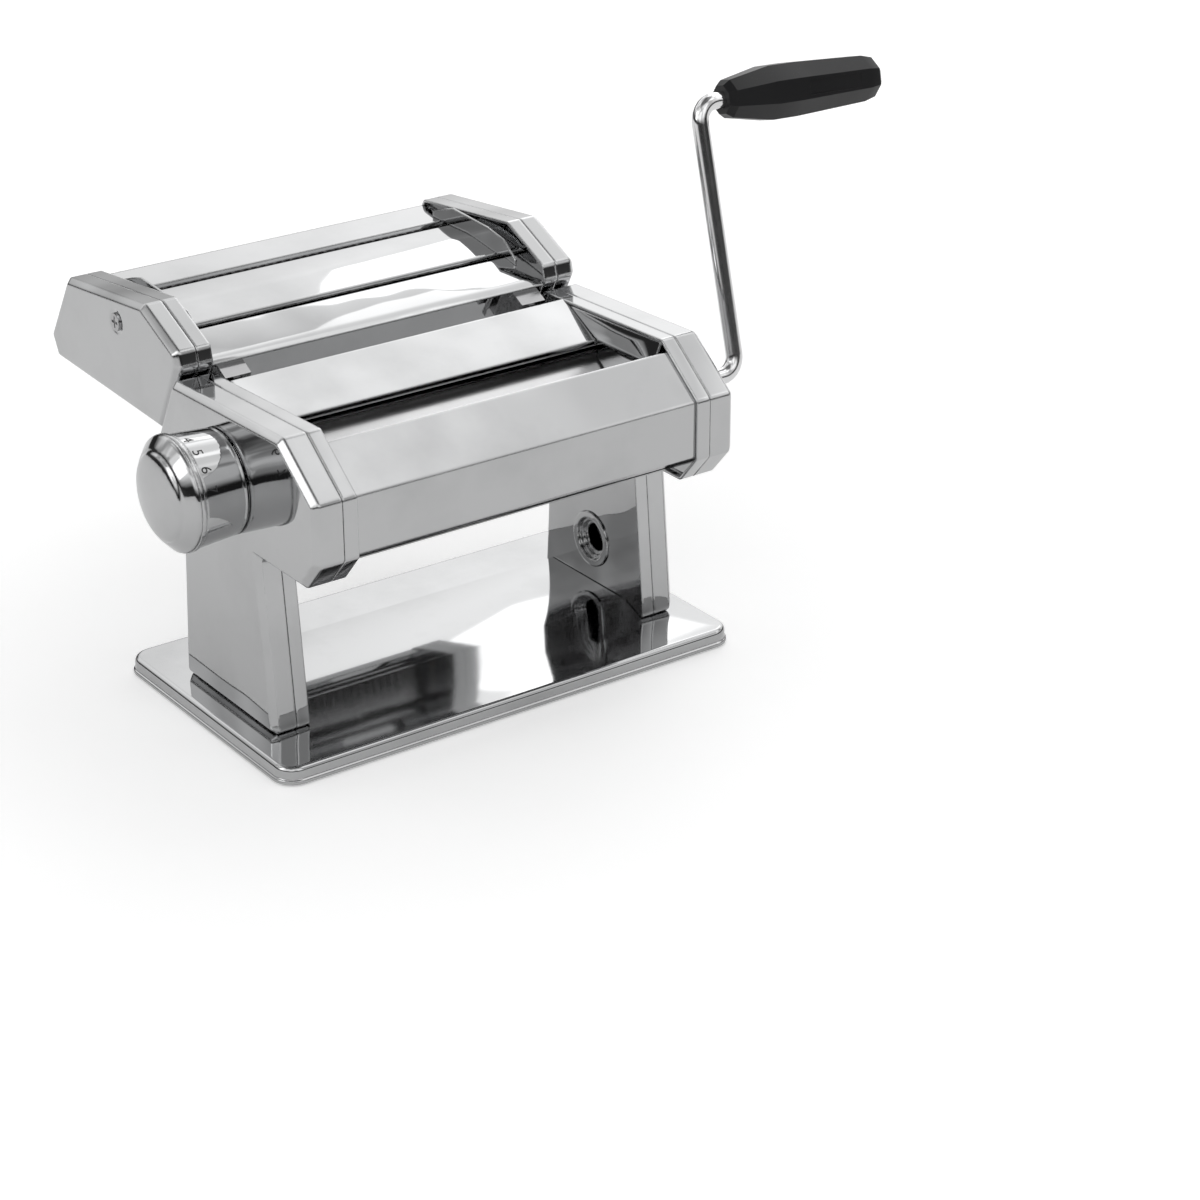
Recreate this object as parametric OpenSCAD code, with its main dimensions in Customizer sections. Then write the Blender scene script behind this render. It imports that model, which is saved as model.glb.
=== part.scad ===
// Hand-cranked dough roller with a lift-off twin cutter unit.
// X runs along the rollers (crank at +X, thickness knob at -X), Y points to the cutter, Z is up.
// The origin is the middle of the footprint, on the table.

/* [Rollers] */
// Working width of the smooth rollers
sheet_w = 150; // [140:1:160]
// Diameter of the smooth rollers
roller_d = 24; // [22:0.5:25]
// Gap between the smooth rollers as set at rest
roll_gap = 1.2; // [1:0.1:1.4]
// Gap at the thinnest setting
gap_min = 0.3; // [0.3:0.05:0.5]
// Gap at the thickest setting
gap_max = 3; // [2.6:0.1:3]
// Knob turn between two thickness settings, in degrees
setting_step = 20; // [18:1:20]
// Number of thickness settings
settings = 7; // [7:1:7]
// Distance of the fixed roller's axis in front of the middle
fixed_roller_y = -32; // [-33:0.5:-31]
// Height of the roller axes over the floor of the body
nip_rise = 24; // [23:0.5:26]
// Diameter of the fixed roller's journals
journal_d = 12; // [11:0.5:12.5]
// Teeth on each gear
gear_teeth = 14; // [14:1:14]
// Face width of each gear
gear_w = 6; // [5:0.5:6.5]

/* [Body] */
// Space between the working width and each end web
end_gap = 5.3; // [5:0.1:6]
// Thickness of the pressed sheet parts
sheet_t = 1.2; // [1:0.1:1.4]
// Thickness of the bearing plates
plate_t = 2.5; // [2:0.1:3]
// Depth of an end housing from web to outer face
housing_depth = 16.2; // [15.5:0.1:17]
// Length of the rim that wraps over the sheet covers
rim_lip = 2.3; // [2:0.1:3]
// Width of the bevel round an outer face
face_bevel = 2.4; // [1.5:0.1:2.6]
// Height of the body over its floor, at the front of the top
body_h = 55.7; // [54:0.1:58]
// Height of the front ridge over the floor of the body
ridge_rise = 37; // [36:0.5:39]
// Height of the front's lower edge over the floor of the body
front_low_rise = 12.5; // [11:0.5:14]
// Distance of the front face from the middle
front_y = 74.5; // [73:0.5:76]
// Distance of the top's front edge from the middle
top_front_y = 50.3; // [49:0.1:52]
// Rounding of the corners of the end housings
corner_r = 2.6; // [2:0.1:3.4]
// Play between parts of one body that only lie side by side
seam = 0.2; // [0.15:0.05:0.3]

/* [Hopper] */
// Height of the chute's lower edge over the roller axes
chute_low_rise = 20.1; // [19.5:0.1:22]
// Distance from the chute's fold back to the joint with the cutter unit, at its height
fold_in = 14.35; // [13.5:0.05:15.5]
// Drop of the chute over that distance
chute_drop = 8.9; // [8:0.1:10]
// Height of the front cover's top edge under the rim
cover_step = 2.6; // [2:0.1:3]
// Lean of the dough guides from rim to lip
guide_lean = 4.4; // [4:0.1:5]
// Thickness of the dough guides
guide_t = 1; // [0.8:0.1:1.2]

/* [Stand] */
// Height of the legs from the base flange to the floor of the body
leg_h = 73.3; // [68:0.5:80]
// Half depth of a leg at its foot
leg_half_foot = 34.8; // [33:0.1:37]
// How much the leg's front edge steps back on its way up
leg_front_taper = 7; // [5:0.5:9]
// How much the leg's rear edge steps in on its way up
leg_rear_taper = 5; // [3:0.5:7]
// Height of the base flange over the table
base_h = 7.7; // [7:0.1:10]
// Margin of the base outside the end housings
base_margin = 11.5; // [10:0.5:14]
// Depth of the base, front to back
base_d = 127; // [122:1:134]
// Corner radius of the base
base_r = 8.5; // [7:0.5:11]
// Height of the raised platform between the legs
platform_h = 5; // [4:0.5:6]
// Height of the rubber feet under the skirt of the base
foot_out = 0.8; // [0.6:0.1:1.2]
// Diameter of a rubber foot
foot_d = 16; // [14:0.5:18]
// Height of the clamp hole over the base flange
clamp_rise = 24; // [22:0.5:27]
// Diameter of the clamp bush
clamp_bush_d = 21.4; // [20:0.2:23]
// Bore that takes the table clamp
clamp_bore_d = 12; // [11:0.2:12.6]

/* [Crank] */
// Diameter of the crank rod
rod_d = 7; // [6.5:0.1:7.4]
// Distance from the crank axis to the grip axis
crank_throw = 110.7; // [100:0.5:120]
// Lean of the crank arm towards the back at rest, in degrees
crank_lean = 15.1; // [10:0.1:20]
// Distance from an end housing's face to the crank arm
crank_reach = 34.5; // [30:0.5:38]
// Radius of the bends in the rod, at its centre line
bend_r = 8; // [7.5:0.5:10]
// Depth of the drive sockets
socket_depth = 24; // [22:0.5:26]
// Radial play of the rod in the drive sockets
socket_play = 0.1; // [0.08:0.01:0.1]
// Tilt of the grip pin from the crank axis, in degrees
pin_cant = 2.5; // [0:0.5:4]
// Length of the grip
grip_len = 80; // [76:0.5:86]
// Width of the grip at its thickest
grip_d = 22; // [20:0.5:24]

/* [Knob] */
// Diameter of the knob at the housing
knob_d = 42.4; // [41:0.2:44]
// Diameter of the knob at its rim
knob_rim_d = 46.2; // [45:0.2:48]
// Length of the knob's drum
knob_len = 20.5; // [19:0.5:22]
// Height of the knob's front cap
knob_cap_h = 9; // [8:0.5:10]
// Wall of the knob
knob_wall = 1.6; // [1.4:0.1:2]
// Travel of the knob when it is pulled
knob_travel = 4; // [3:0.5:4.5]
// Diameter of the thickness shaft
shaft_d = 8; // [7.5:0.1:8.4]
// Radius of the ring of index holes
index_r = 14; // [13:0.5:15]

/* [Cutter] */
// Diameter of the cutting rolls
cut_roll_d = 20; // [19:0.5:20.5]
// Distance between the axes of a pair of cutting rolls
cut_pair = 18.4; // [18.2:0.1:18.8]
// Width of the wide ribbons
wide_strip = 6.5; // [6:0.5:7]
// Width of the narrow ribbons
narrow_strip = 2; // [2:0.1:2.5]
// Depth of the grooves in the cutting rolls
groove_depth = 2.2; // [2:0.1:2.4]
// Side play between the ridges of a pair
ridge_play = 0.25; // [0.2:0.05:0.3]
// Distance of the wide pair behind the middle
wide_y = 56; // [55.5:0.1:57]
// Height of the wide pair over the floor of the body
wide_rise = 49; // [48:0.5:50]
// Distance from the wide pair back to the narrow pair
pair_pitch = 42; // [41.5:0.1:43]
// Height of the narrow pair over the floor of the body
narrow_rise = 53; // [52:0.5:54]
// Width of the slot over each pair
slot_w = 7; // [6:0.5:8]
// Depth of a cutter cap from web to outer face
cap_depth = 13.7; // [13.5:0.1:14.5]
// Lean of the joint between body and cutter unit, in degrees
split_lean = 28.3; // [27:0.1:29]
// Distance from that joint back to the wide pair, at the height of its axes
wide_behind = 23; // [22.5:0.1:23.5]
// Play across that joint
split_play = 0.5; // [0.4:0.05:0.6]

/* [Hidden] */

chrome = "silver";
steel = "gainsboro";
black = "dimgray";
fine = 64;
slack = 0.02;

// Planes along the rollers, given for the right-hand side
web_x = sheet_w / 2 + end_gap;
rim_x = web_x - rim_lip;
plate_x = web_x + sheet_t;
plate_out_x = plate_x + plate_t;
seam_x = plate_out_x + seam;
leg_seam_x = seam_x + 1.7;
face_x = web_x + housing_depth;
face_in_x = face_x - sheet_t;
gear_x = plate_out_x + 1.6;
roller_end_x = web_x - 0.4;

// Heights
floor_z = base_h + leg_h;
nip_z = floor_z + nip_rise;
top_z = floor_z + body_h;
split_z = top_z - 0.2;

// Thickness setting: an eccentric lobe turns setting_step for each setting
gap_step = (gap_max - gap_min) / (settings - 1);
full_turn = setting_step * (settings - 1);
lobe_throw = (gap_max - gap_min) / 2 / sin(full_turn / 2);
rest_turn = (roll_gap - (gap_max + gap_min) / 2) / gap_step * setting_step;
adj_roller_y = fixed_roller_y + roller_d + roll_gap;
shaft_y = adj_roller_y - (roll_gap - (gap_max + gap_min) / 2);
roller_play = 0.06;
carrier_d = 17;
lobe_d = shaft_d + gap_max - gap_min + 0.2;
lobe_w = 8;
lobe_play = 0.2;
hub_d = 16;
hub_bore_d = 12.4;
bush_d = 16;

function unit(v) = v / norm(v);
function next(p, i, n = 1) = p[(i + n + len(p)) % len(p)];

// A polygon pulled in by d along the normals of its edges (points run anticlockwise)
function inset(p, d) = [
    for (i = [0 : len(p) - 1])
        let (u = unit(p[i] - next(p, i, -1)), v = unit(next(p, i) - p[i]),
             nu = [-u[1], u[0]], nv = [-v[1], v[0]])
            p[i] + d * (nu + nv) / (1 + nu * nv)
];

// A polygon with an arc of radius r in three chords at each corner
function rounded(p, r) = [
    for (i = [0 : len(p) - 1])
        let (u = unit(next(p, i, -1) - p[i]), v = unit(next(p, i) - p[i]),
             half = acos(u * v) / 2,
             run = r / tan(half),
             c = p[i] + unit(u + v) * r / sin(half),
             a = p[i] + u * run - c, b = p[i] + v * run - c)
            for (k = [0 : 3])
                let (m = a * (3 - k) / 3 + b * k / 3) c + unit(m) * r
];

wide_z = floor_z + wide_rise;
narrow_z = floor_z + narrow_rise;
narrow_y = wide_y + pair_pitch;
split_y = wide_y - wide_behind - (split_z - wide_z) * tan(split_lean);
function split_y_at(z) = split_y + (split_z - z) * tan(split_lean);

// Corner points of the end housings, leg and all, in (y, z)
leg_outline = [
    [-leg_half_foot - 1.9, base_h],
    [leg_half_foot - 1.8, base_h],
    [leg_half_foot - 1.8 - leg_rear_taper, floor_z],
    [-leg_half_foot - 1.9 + leg_front_taper, floor_z]
];
top_fall = 3.4;
rear_top_z = top_z - top_fall;
rear_low_z = floor_z + 27;
body_rear_y = split_y_at(rear_low_z) - split_play;
upper_part = [
    [body_rear_y, floor_z + 15],
    [body_rear_y, rear_low_z],
    [split_y_at(rear_top_z) - split_play, rear_top_z],
    [-top_front_y, top_z],
    [-front_y, floor_z + ridge_rise],
    [-front_y, floor_z + front_low_rise],
    [-front_y + 10.9, floor_z]
];
housing_outline = concat([leg_outline[0], leg_outline[1], leg_outline[2]], upper_part, [leg_outline[3]]);
body_outline = concat([leg_outline[2]], upper_part);
// The leg again, run on into the body so that its bevel meets the body's bevel
leg_front = [leg_outline[0], leg_outline[1],
             leg_outline[2] + 14 * unit(leg_outline[2] - leg_outline[1]),
             leg_outline[3] + 14 * unit(leg_outline[3] - leg_outline[0])];

module yz(x0, x1) {
    translate([x0, 0, 0]) rotate([90, 0, 90]) linear_extrude(x1 - x0) children();
}
module ring_yz(x0, x1, pts, t, r) {
    yz(x0, x1) difference() {
        polygon(rounded(pts, r));
        polygon(rounded(inset(pts, t), max(r - t, 0.4)));
    }
}
module rod_x(x0, x1, d, y, z) {
    translate([x0, y, z]) rotate([0, 90, 0]) cylinder(h = x1 - x0, d = d, $fn = fine);
}
module both_sides() {
    children();
    mirror([1, 0, 0]) children();
}
// A slot of width d whose centre travels from -back to +forth along Y
module slot_x(x0, x1, d, y, z, back, forth) {
    rod_x(x0, x1, d, y - back, z);
    rod_x(x0, x1, d, y + forth, z);
    translate([x0, y - back, z - d / 2]) cube([x1 - x0, back + forth, d]);
}
function left_of(v) = unit([-v[1], v[0]]);
// Sheet strip along a bent line of points, with its thickness t on the left of the line
module strip(pts, t) {
    last = len(pts) - 1;
    polygon(concat(pts, [for (i = [last : -1 : 0])
        let (n1 = left_of(pts[max(i, 1)] - pts[max(i, 1) - 1]),
             n2 = left_of(pts[min(i, last - 1) + 1] - pts[min(i, last - 1)]))
            pts[i] + t * (i == last ? n1 : i == 0 ? n2 : (n1 + n2) / (1 + n1 * n2))]));
}

// ---------------------------------------------------------------- stand
base_half_l = face_x + base_margin;
base_half_d = base_d / 2;
base_t = 1.2;
base_edge_r = 2.2;
hem = 0.8;
platform_front = leg_half_foot + 2;
platform_slope = 12;

// Half section of the rim of the base, outwards from a corner centre
module base_section() {
    r = base_r;
    e = base_edge_r;
    arc = [for (a = [90 : -15 : 0]) [r - e + e * cos(a), base_h - e + e * sin(a)]];
    inner = [for (a = [0 : 15 : 90]) [r - e + (e - base_t) * cos(a), base_h - e + (e - base_t) * sin(a)]];
    polygon(concat([[0, base_h]], arc, [[r, foot_out + 2], [r + hem, foot_out + 1.4], [r + hem, foot_out],
            [r - base_t, foot_out]], inner, [[0, base_h - base_t]]));
}
module base_plate() {
    cx = base_half_l - base_r - hem;
    cy = base_half_d - base_r - hem;
    color(chrome) difference() {
        union() {
            for (sx = [0, 1], sy = [0, 1]) mirror([sx, 0, 0]) mirror([0, sy, 0])
                translate([cx, cy, 0]) rotate_extrude(angle = 90, $fn = fine) base_section();
            for (sy = [0, 1]) mirror([0, sy, 0])
                translate([-cx, cy, 0]) rotate([90, 0, 90]) linear_extrude(2 * cx) base_section();
            for (sx = [0, 1]) mirror([sx, 0, 0])
                translate([cx, cy, 0]) rotate([90, 0, 0]) linear_extrude(2 * cy) base_section();
            translate([-cx, -cy, base_h - base_t]) cube([2 * cx, 2 * cy, base_t]);
            yz(-web_x + seam, web_x - seam) polygon([
                [-platform_front, base_h], [-platform_front + platform_slope, base_h + platform_h],
                [platform_front - platform_slope + 3, base_h + platform_h], [platform_front, base_h]]);
        }
        yz(-web_x + seam + base_t, web_x - seam - base_t) polygon([
            [-platform_front + 3, base_h - base_t - 1], [-platform_front + 3, base_h - base_t],
            [-platform_front + platform_slope + 0.4, base_h + platform_h - base_t],
            [platform_front - platform_slope + 2.6, base_h + platform_h - base_t],
            [platform_front - 3, base_h - base_t], [platform_front - 3, base_h - base_t - 1]]);
        leg_screw_places() cylinder(h = 3 * base_t, d = screw_d + 0.4, center = true, $fn = fine);
    }
}
foot_x = base_half_l - 14;
foot_y = base_half_d - 13;
module base_feet() {
    color(black) for (sx = [-1, 1], sy = [-1, 1]) translate([sx * foot_x, sy * foot_y, 0]) {
        cylinder(h = foot_out + 1, d1 = foot_d - 2, d2 = foot_d, $fn = fine);
        translate([0, 0, foot_out + 1]) cylinder(h = base_h - base_t - foot_out - 1, d = foot_d, $fn = fine);
    }
}
screw_d = 4;
screw_y = leg_half_foot - 14;
screw_x = web_x + 8;
module leg_screw_places() {
    for (sx = [-1, 1], sy = [-1, 1]) translate([sx * screw_x, sy * screw_y, base_h - base_t / 2]) children();
}
module leg_screws() {
    color(steel) leg_screw_places() {
        translate([0, 0, -base_t / 2 - 2.4]) cylinder(h = 2.4, d = 7, $fn = fine);
        translate([0, 0, -base_t / 2]) cylinder(h = base_t + foot_flange_t + 4, d = screw_d, $fn = fine);
        translate([0, 0, base_t / 2 + foot_flange_t]) difference() {
            cylinder(h = 3, d = 8, $fn = 6);
            translate([0, 0, -1]) cylinder(h = 5, d = screw_d, $fn = fine);
        }
    }
}

// ---------------------------------------------------------------- end housings
foot_flange_t = 1.2;
crank_hole_d = journal_d + 3;
module inner_housing() {
    outline = rounded(housing_outline, corner_r);
    difference() {
        union() {
            yz(web_x, plate_x) polygon(outline);
            ring_yz(rim_x, web_x, body_outline, sheet_t, corner_r);
            ring_yz(plate_x, seam_x, housing_outline, sheet_t, corner_r);
            intersection() {
                ring_yz(seam_x, leg_seam_x, housing_outline, sheet_t, corner_r);
                yz(seam_x, leg_seam_x) polygon([[-80, 0], [80, 0], [80, floor_z - 6], [-80, floor_z - 6]]);
            }
            foot_flange();
        }
        children();
        rod_x(rim_x, seam_x, bush_d + 2 * slack, fixed_roller_y, nip_z);
        tie_places() rod_x(rim_x, seam_x, tie_thread_d + 0.4, 0, 0);
    }
}
// Flange inside the leg that the foot screws pass through
module foot_flange() {
    difference() {
        translate([plate_x, -leg_half_foot + 2, base_h]) cube([11, 2 * leg_half_foot - 8, foot_flange_t]);
        for (sy = [-1, 1]) translate([screw_x, sy * screw_y, base_h])
            cylinder(h = 4 * foot_flange_t, d = screw_d + 0.4, center = true, $fn = fine);
    }
}
module inner_housing_left() {
    color(chrome) mirror([1, 0, 0]) inner_housing() {
        rod_x(rim_x, seam_x, bush_d + 2 * slack, shaft_y, nip_z);
    }
}
module inner_housing_right() {
    color(chrome) inner_housing() {
        rod_x(rim_x, seam_x, gear_passage_d, shaft_y, nip_z);
        rod_x(web_x - 1, plate_x + 1, clamp_bush_d + 2 * slack, 0, base_h + clamp_rise);
    }
}
gear_passage_d = hub_d + gap_max + 3;

// Prism whose front outline is pulled in by d, for a bevelled shell
module bevel_prism(x0, x1, p, q) {
    n = len(p);
    polyhedron(
        points = concat([for (v = p) [x0, v[0], v[1]]], [for (v = q) [x1, v[0], v[1]]]),
        faces = concat([[for (i = [0 : n - 1]) i]], [[for (i = [n - 1 : -1 : 0]) n + i]],
            [for (i = [0 : n - 1]) let (j = (i + 1) % n) [j, i, n + i]],
            [for (i = [0 : n - 1]) let (j = (i + 1) % n) [j, n + i, n + j]]));
}
// Shell open towards the web; its front is made of the convex outlines in parts
module bevelled_shell(seam_from, face_to, pts, parts, r) {
    bevel_x = face_to - face_bevel;
    difference() {
        union() {
            yz(seam_from, bevel_x) polygon(rounded(pts, r));
            for (q = parts) bevel_prism(bevel_x, face_to, rounded(q, r), rounded(inset(q, face_bevel), 1.2));
        }
        yz(seam_from - 1, bevel_x + 0.1) polygon(rounded(inset(pts, sheet_t), r - sheet_t));
        for (q = parts) bevel_prism(bevel_x, face_to - sheet_t, rounded(inset(q, sheet_t), r - sheet_t),
                                    rounded(inset(q, face_bevel + 0.3), 1));
    }
}
module outer_housing() {
    difference() {
        bevelled_shell(seam_x + seam, face_x, housing_outline, [body_outline, leg_front], corner_r);
        translate([seam_x, -80, 0]) cube([leg_seam_x + seam - seam_x, 160, floor_z - 6 + seam]);
        translate([seam_x, -leg_half_foot + 1, base_h - 1])
            cube([face_in_x - 1 - seam_x, 2 * leg_half_foot - 6, sheet_t + 2]);
        children();
    }
}
module outer_housing_left() {
    color(chrome) mirror([1, 0, 0]) outer_housing() {
        rod_x(face_in_x - 3, face_x + 1, shaft_d + 4, shaft_y, nip_z);
        index_place() rod_x(face_in_x - 3, face_x + 1, pin_d + 2 * slack, 0, 0);
    }
}
module outer_housing_right() {
    color(chrome) outer_housing() {
        rod_x(face_in_x - 3, face_x + 1, crank_hole_d, fixed_roller_y, nip_z);
    }
}
module bearing_plate(bore) {
    difference() {
        yz(plate_x, plate_out_x) polygon(rounded(inset(body_outline, sheet_t + seam), corner_r));
        rod_x(plate_x - 1, plate_out_x + 1, bush_d + 2 * slack, fixed_roller_y, nip_z);
        rod_x(plate_x - 1, plate_out_x + 1, bore, shaft_y, nip_z);
        tie_places() rod_x(plate_x - 1, plate_out_x + 1, tie_thread_d + 0.4, 0, 0);
    }
}
module bearing_plates() {
    color(steel) {
        bearing_plate(gear_passage_d);
        mirror([1, 0, 0]) bearing_plate(bush_d + 2 * slack);
    }
}
clamp_depth = 9;
module clamp_bush() {
    color(steel) difference() {
        union() {
            rod_x(web_x - 0.8, web_x + clamp_depth, clamp_bush_d, 0, base_h + clamp_rise);
            rod_x(web_x - 0.8, web_x, clamp_bush_d + 3, 0, base_h + clamp_rise);
        }
        rod_x(web_x - 2, web_x + clamp_depth + 1, clamp_bore_d, 0, base_h + clamp_rise);
        rod_x(web_x - 2, web_x + 0.8, clamp_bore_d + 6, 0, base_h + clamp_rise);
        rod_x(web_x - 2, web_x + 2.2, clamp_bore_d + 3, 0, base_h + clamp_rise);
    }
}

// Tie rods hold the two bearing plates apart
tie_d = 8;
tie_thread_d = 6;
tie_nut_h = 3.6;
tie_in = 15;
tie_clear = 3;
tie_rear_in = 20.9;
tie_drop = roller_d / 2 + tie_clear;
module tie_places() {
    for (p = [[-front_y + tie_in, nip_z + tie_in - 9], [-front_y + tie_in + 5, nip_z - tie_drop - 2],
              [split_y_at(nip_z + tie_drop - 5) - tie_rear_in, nip_z + tie_drop - 5],
              [split_y_at(nip_z - tie_drop + 1) - tie_rear_in - 6.9, nip_z - tie_drop + 1]])
        translate([0, p[0], p[1]]) children();
}
module tie_rods() {
    color(steel) tie_places() {
        rod_x(-web_x, web_x, tie_d, 0, 0);
        both_sides() rod_x(web_x, plate_out_x + tie_nut_h + 0.8, tie_thread_d, 0, 0);
    }
}
module tie_nuts() {
    color(steel) tie_places() both_sides() difference() {
        translate([plate_out_x, 0, 0]) rotate([0, 90, 0]) cylinder(h = tie_nut_h, d = 11.5, $fn = 6);
        rod_x(plate_out_x - 1, plate_out_x + tie_nut_h + 1, tie_thread_d + 0.1, 0, 0);
    }
}

// ---------------------------------------------------------------- covers and hopper
cover_half = web_x - seam;
under = inset(body_outline, sheet_t + seam);
chute_low = [adj_roller_y - 3.3, nip_z + chute_low_rise];
chute_top = [split_y_at(chute_low[1] + chute_drop) - fold_in, chute_low[1] + chute_drop];
// Outline of the room inside the rims
module under_rim(x0, x1) {
    yz(x0, x1) polygon(rounded(inset(body_outline, sheet_t + 2 * seam), corner_r - sheet_t));
}
module front_cover() {
    ridge = under[5];
    low = under[6];
    up = unit(under[4] - under[5]);
    top = under[5] + up * (norm(under[4] - under[5]) - 4.5 + cover_step - 2.6);
    curl = top + [4.2, -3.2];
    color(chrome) yz(-cover_half, cover_half)
        strip([curl, top, ridge, low, low + [12, 0], low + [13, 3]], sheet_t);
}
// Clears the ends of a cover where it passes under the rims of the end housings
module body_rim_notch() {
    both_sides() yz(rim_x - seam, web_x) difference() {
        translate([-front_y - 5, floor_z - 5]) square([front_y + 60, body_h + 10]);
        polygon(rounded(under, corner_r - sheet_t));
    }
}
module rear_cover() {
    fold = chute_top;
    back_run = [sin(split_lean), -cos(split_lean)];
    heel = fold + [1.8, -0.9] + back_run * 40;
    color(chrome) difference() {
        yz(-cover_half, cover_half)
            strip([heel + [-10, -1], heel, fold + [1.8, -0.9], fold, chute_low, chute_low + [-0.6, -2.4]], sheet_t);
        body_rim_notch();
    }
}
// Leaning cheek beside the hopper with a lip that hangs beside the rollers
module dough_guide() {
    lip_x = rim_x + 1.6 - guide_lean;
    difference() {
        intersection() {
            translate([0, -top_front_y + 1.4, 0]) rotate([-90, 0, 0]) linear_extrude(top_front_y + chute_top[0] - 3)
                polygon([[lip_x, -nip_z - 3], [lip_x, -chute_low[1] - 0.8],
                         [cover_half, -top_z - 1], [cover_half, -top_z + 1.4],
                         [lip_x + guide_t, -chute_low[1] - 0.4], [lip_x + guide_t, -nip_z - 3]]);
            under_rim(lip_x - 1, web_x);
            yz(lip_x - 1, web_x) polygon([chute_low + [-0.9, 0.3 + sheet_t - 1.2], chute_top + [0, 0.3], chute_top + [0, 20],
                [-top_front_y, top_z + 5], [-top_front_y, top_z - 8.5], [fixed_roller_y - 9, chute_low[1] - 3],
                [fixed_roller_y - 9, nip_z], [chute_low[0] - 0.9, nip_z]]);
        }
        rod_x(lip_x - 1, web_x, roller_d + 1.2, fixed_roller_y, nip_z);
        slot_x(lip_x - 1, web_x, roller_d + 1.2, adj_roller_y, nip_z, roll_gap - gap_min, gap_max - roll_gap);
        translate([lip_x - 1, adj_roller_y - roller_d / 2, nip_z - roller_d]) cube([12, roller_d, roller_d]);
    }
}
module dough_guide_left() {
    color(chrome) mirror([1, 0, 0]) dough_guide();
}
module dough_guide_right() {
    color(chrome) dough_guide();
}
// Spring blade that wipes a roller from below; s = 1 for the front roller, -1 for the rear one
blade_t = 0.8;
module scraper(y, s, gap) {
    n = [s * cos(65), -sin(65)];
    t = [s * sin(65), cos(65)];
    tip = [y, nip_z] + n * (roller_d / 2 + gap);
    heel = tip - t * 24;
    low = heel - [s * 7, 0];
    yz(-web_x, web_x) polygon(s > 0
        ? [tip + t * 2, heel, low, low + n * blade_t, heel + n * blade_t + [0, 0], tip + t * 2 + n * blade_t]
        : [tip + t * 2, tip + t * 2 + n * blade_t, heel + n * blade_t, low + n * blade_t, low, heel]);
}
module scraper_front() {
    color(steel) scraper(fixed_roller_y, 1, 0.45);
}
module scraper_rear() {
    color(steel) scraper(adj_roller_y, -1, 0.5 + (roll_gap - gap_min) * cos(65));
}

// ---------------------------------------------------------------- roller train
module bush(x0, x1, y, z, d, bore) {
    difference() {
        rod_x(x0, x1, d, y, z);
        rod_x(x0 - 1, x1 + 1, bore, y, z);
    }
}
module roller_bushes() {
    color("peru") both_sides() bush(web_x, plate_out_x, fixed_roller_y, nip_z, bush_d, journal_d + 0.1);
}
outboard_bush_x = gear_x + gear_w + 0.8;
module shaft_bushes() {
    color("peru") {
        bush(-plate_out_x, -web_x, shaft_y, nip_z, bush_d, shaft_d + 0.1);
        bush(outboard_bush_x, face_in_x, shaft_y, nip_z, bush_d, shaft_d + 0.1);
    }
}
// Round socket whose inner half is narrower and has two flats, cut from x inwards
tang_d = rod_d - 0.8;
flat_half = 2.6;
module drive_socket(x, y, z) {
    d = tang_d + 2 * socket_play;
    rod_x(x - socket_depth / 2, x + 1, rod_d + 2 * socket_play, y, z);
    intersection() {
        rod_x(x - socket_depth, x - socket_depth / 2, d, y, z);
        translate([x - socket_depth, y - d, z - flat_half - socket_play])
            cube([socket_depth / 2, 2 * d, 2 * (flat_half + socket_play)]);
    }
}
socket_x = face_in_x - 1.8;
module fixed_roller() {
    color(chrome) difference() {
        union() {
            rod_x(-roller_end_x, roller_end_x, roller_d, fixed_roller_y, nip_z);
            rod_x(-plate_out_x - 1.4, -roller_end_x, journal_d, fixed_roller_y, nip_z);
            rod_x(roller_end_x, socket_x, journal_d, fixed_roller_y, nip_z);
        }
        drive_socket(socket_x, fixed_roller_y, nip_z);
    }
}
// Involute spur gear for a pair at axis distance a, with play on the flanks
function involute(rb, r) = let (t = sqrt(max((r / rb) * (r / rb) - 1, 0))) t * 180 / PI - atan(t);
function polar(r, a) = [r * cos(a), r * sin(a)];
// Outline of the gear: flanks, tips and the root between two teeth, all round
function gear_outline(n, a, tip, root, play) =
    let (rp = a / 2, rb = rp * cos(20), half = 90 / n - play / rp * 45 / PI + involute(rb, rp),
         radii = [for (k = [0 : 4]) rb + (tip - rb) * k / 4])
    [for (i = [0 : n - 1]) let (at = i * 360 / n) each concat(
        [polar(root, at - 180 / n), polar(root, at - half - 1.5)],
        [for (r = radii) polar(r, at - half + involute(rb, r))],
        [for (k = [4 : -1 : 0]) polar(radii[k], at + half - involute(rb, radii[k]))],
        [polar(root, at + half + 1.5)])];
module spur_gear(x, y, z, a, tip, root, play, bore, phase) {
    translate([x, y, z]) rotate([90, 0, 90]) linear_extrude(gear_w) difference() {
        rotate(phase) polygon(gear_outline(gear_teeth, a, tip, root, play));
        circle(d = bore, $fn = fine);
    }
}
mesh_a = roller_d + gap_min;
gear_tip = mesh_a / 2 + 1.75;
gear_root = mesh_a / 2 - 2.15;
module fixed_roller_gear() {
    color("darkgray") spur_gear(gear_x, fixed_roller_y, nip_z, mesh_a, gear_tip, gear_root, 0.34,
                              journal_d + 2 * slack, 0);
}
half_tooth = 180 / gear_teeth;
module thickness_roller_gear() {
    color("darkgray") spur_gear(gear_x, adj_roller_y, nip_z, mesh_a, gear_tip, gear_root, 0.34,
                              hub_d + 2 * slack, gear_teeth % 2 == 0 ? half_tooth : 0);
}
module thickness_roller() {
    color(chrome) difference() {
        union() {
            rod_x(-roller_end_x, roller_end_x, roller_d, adj_roller_y, nip_z);
            rod_x(roller_end_x, gear_x + gear_w, hub_d, adj_roller_y, nip_z);
        }
        rod_x(-roller_end_x - 1, roller_end_x - 3, carrier_d + 2 * roller_play, adj_roller_y, nip_z);
        rod_x(0, face_x, hub_bore_d, adj_roller_y, nip_z);
    }
}
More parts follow.
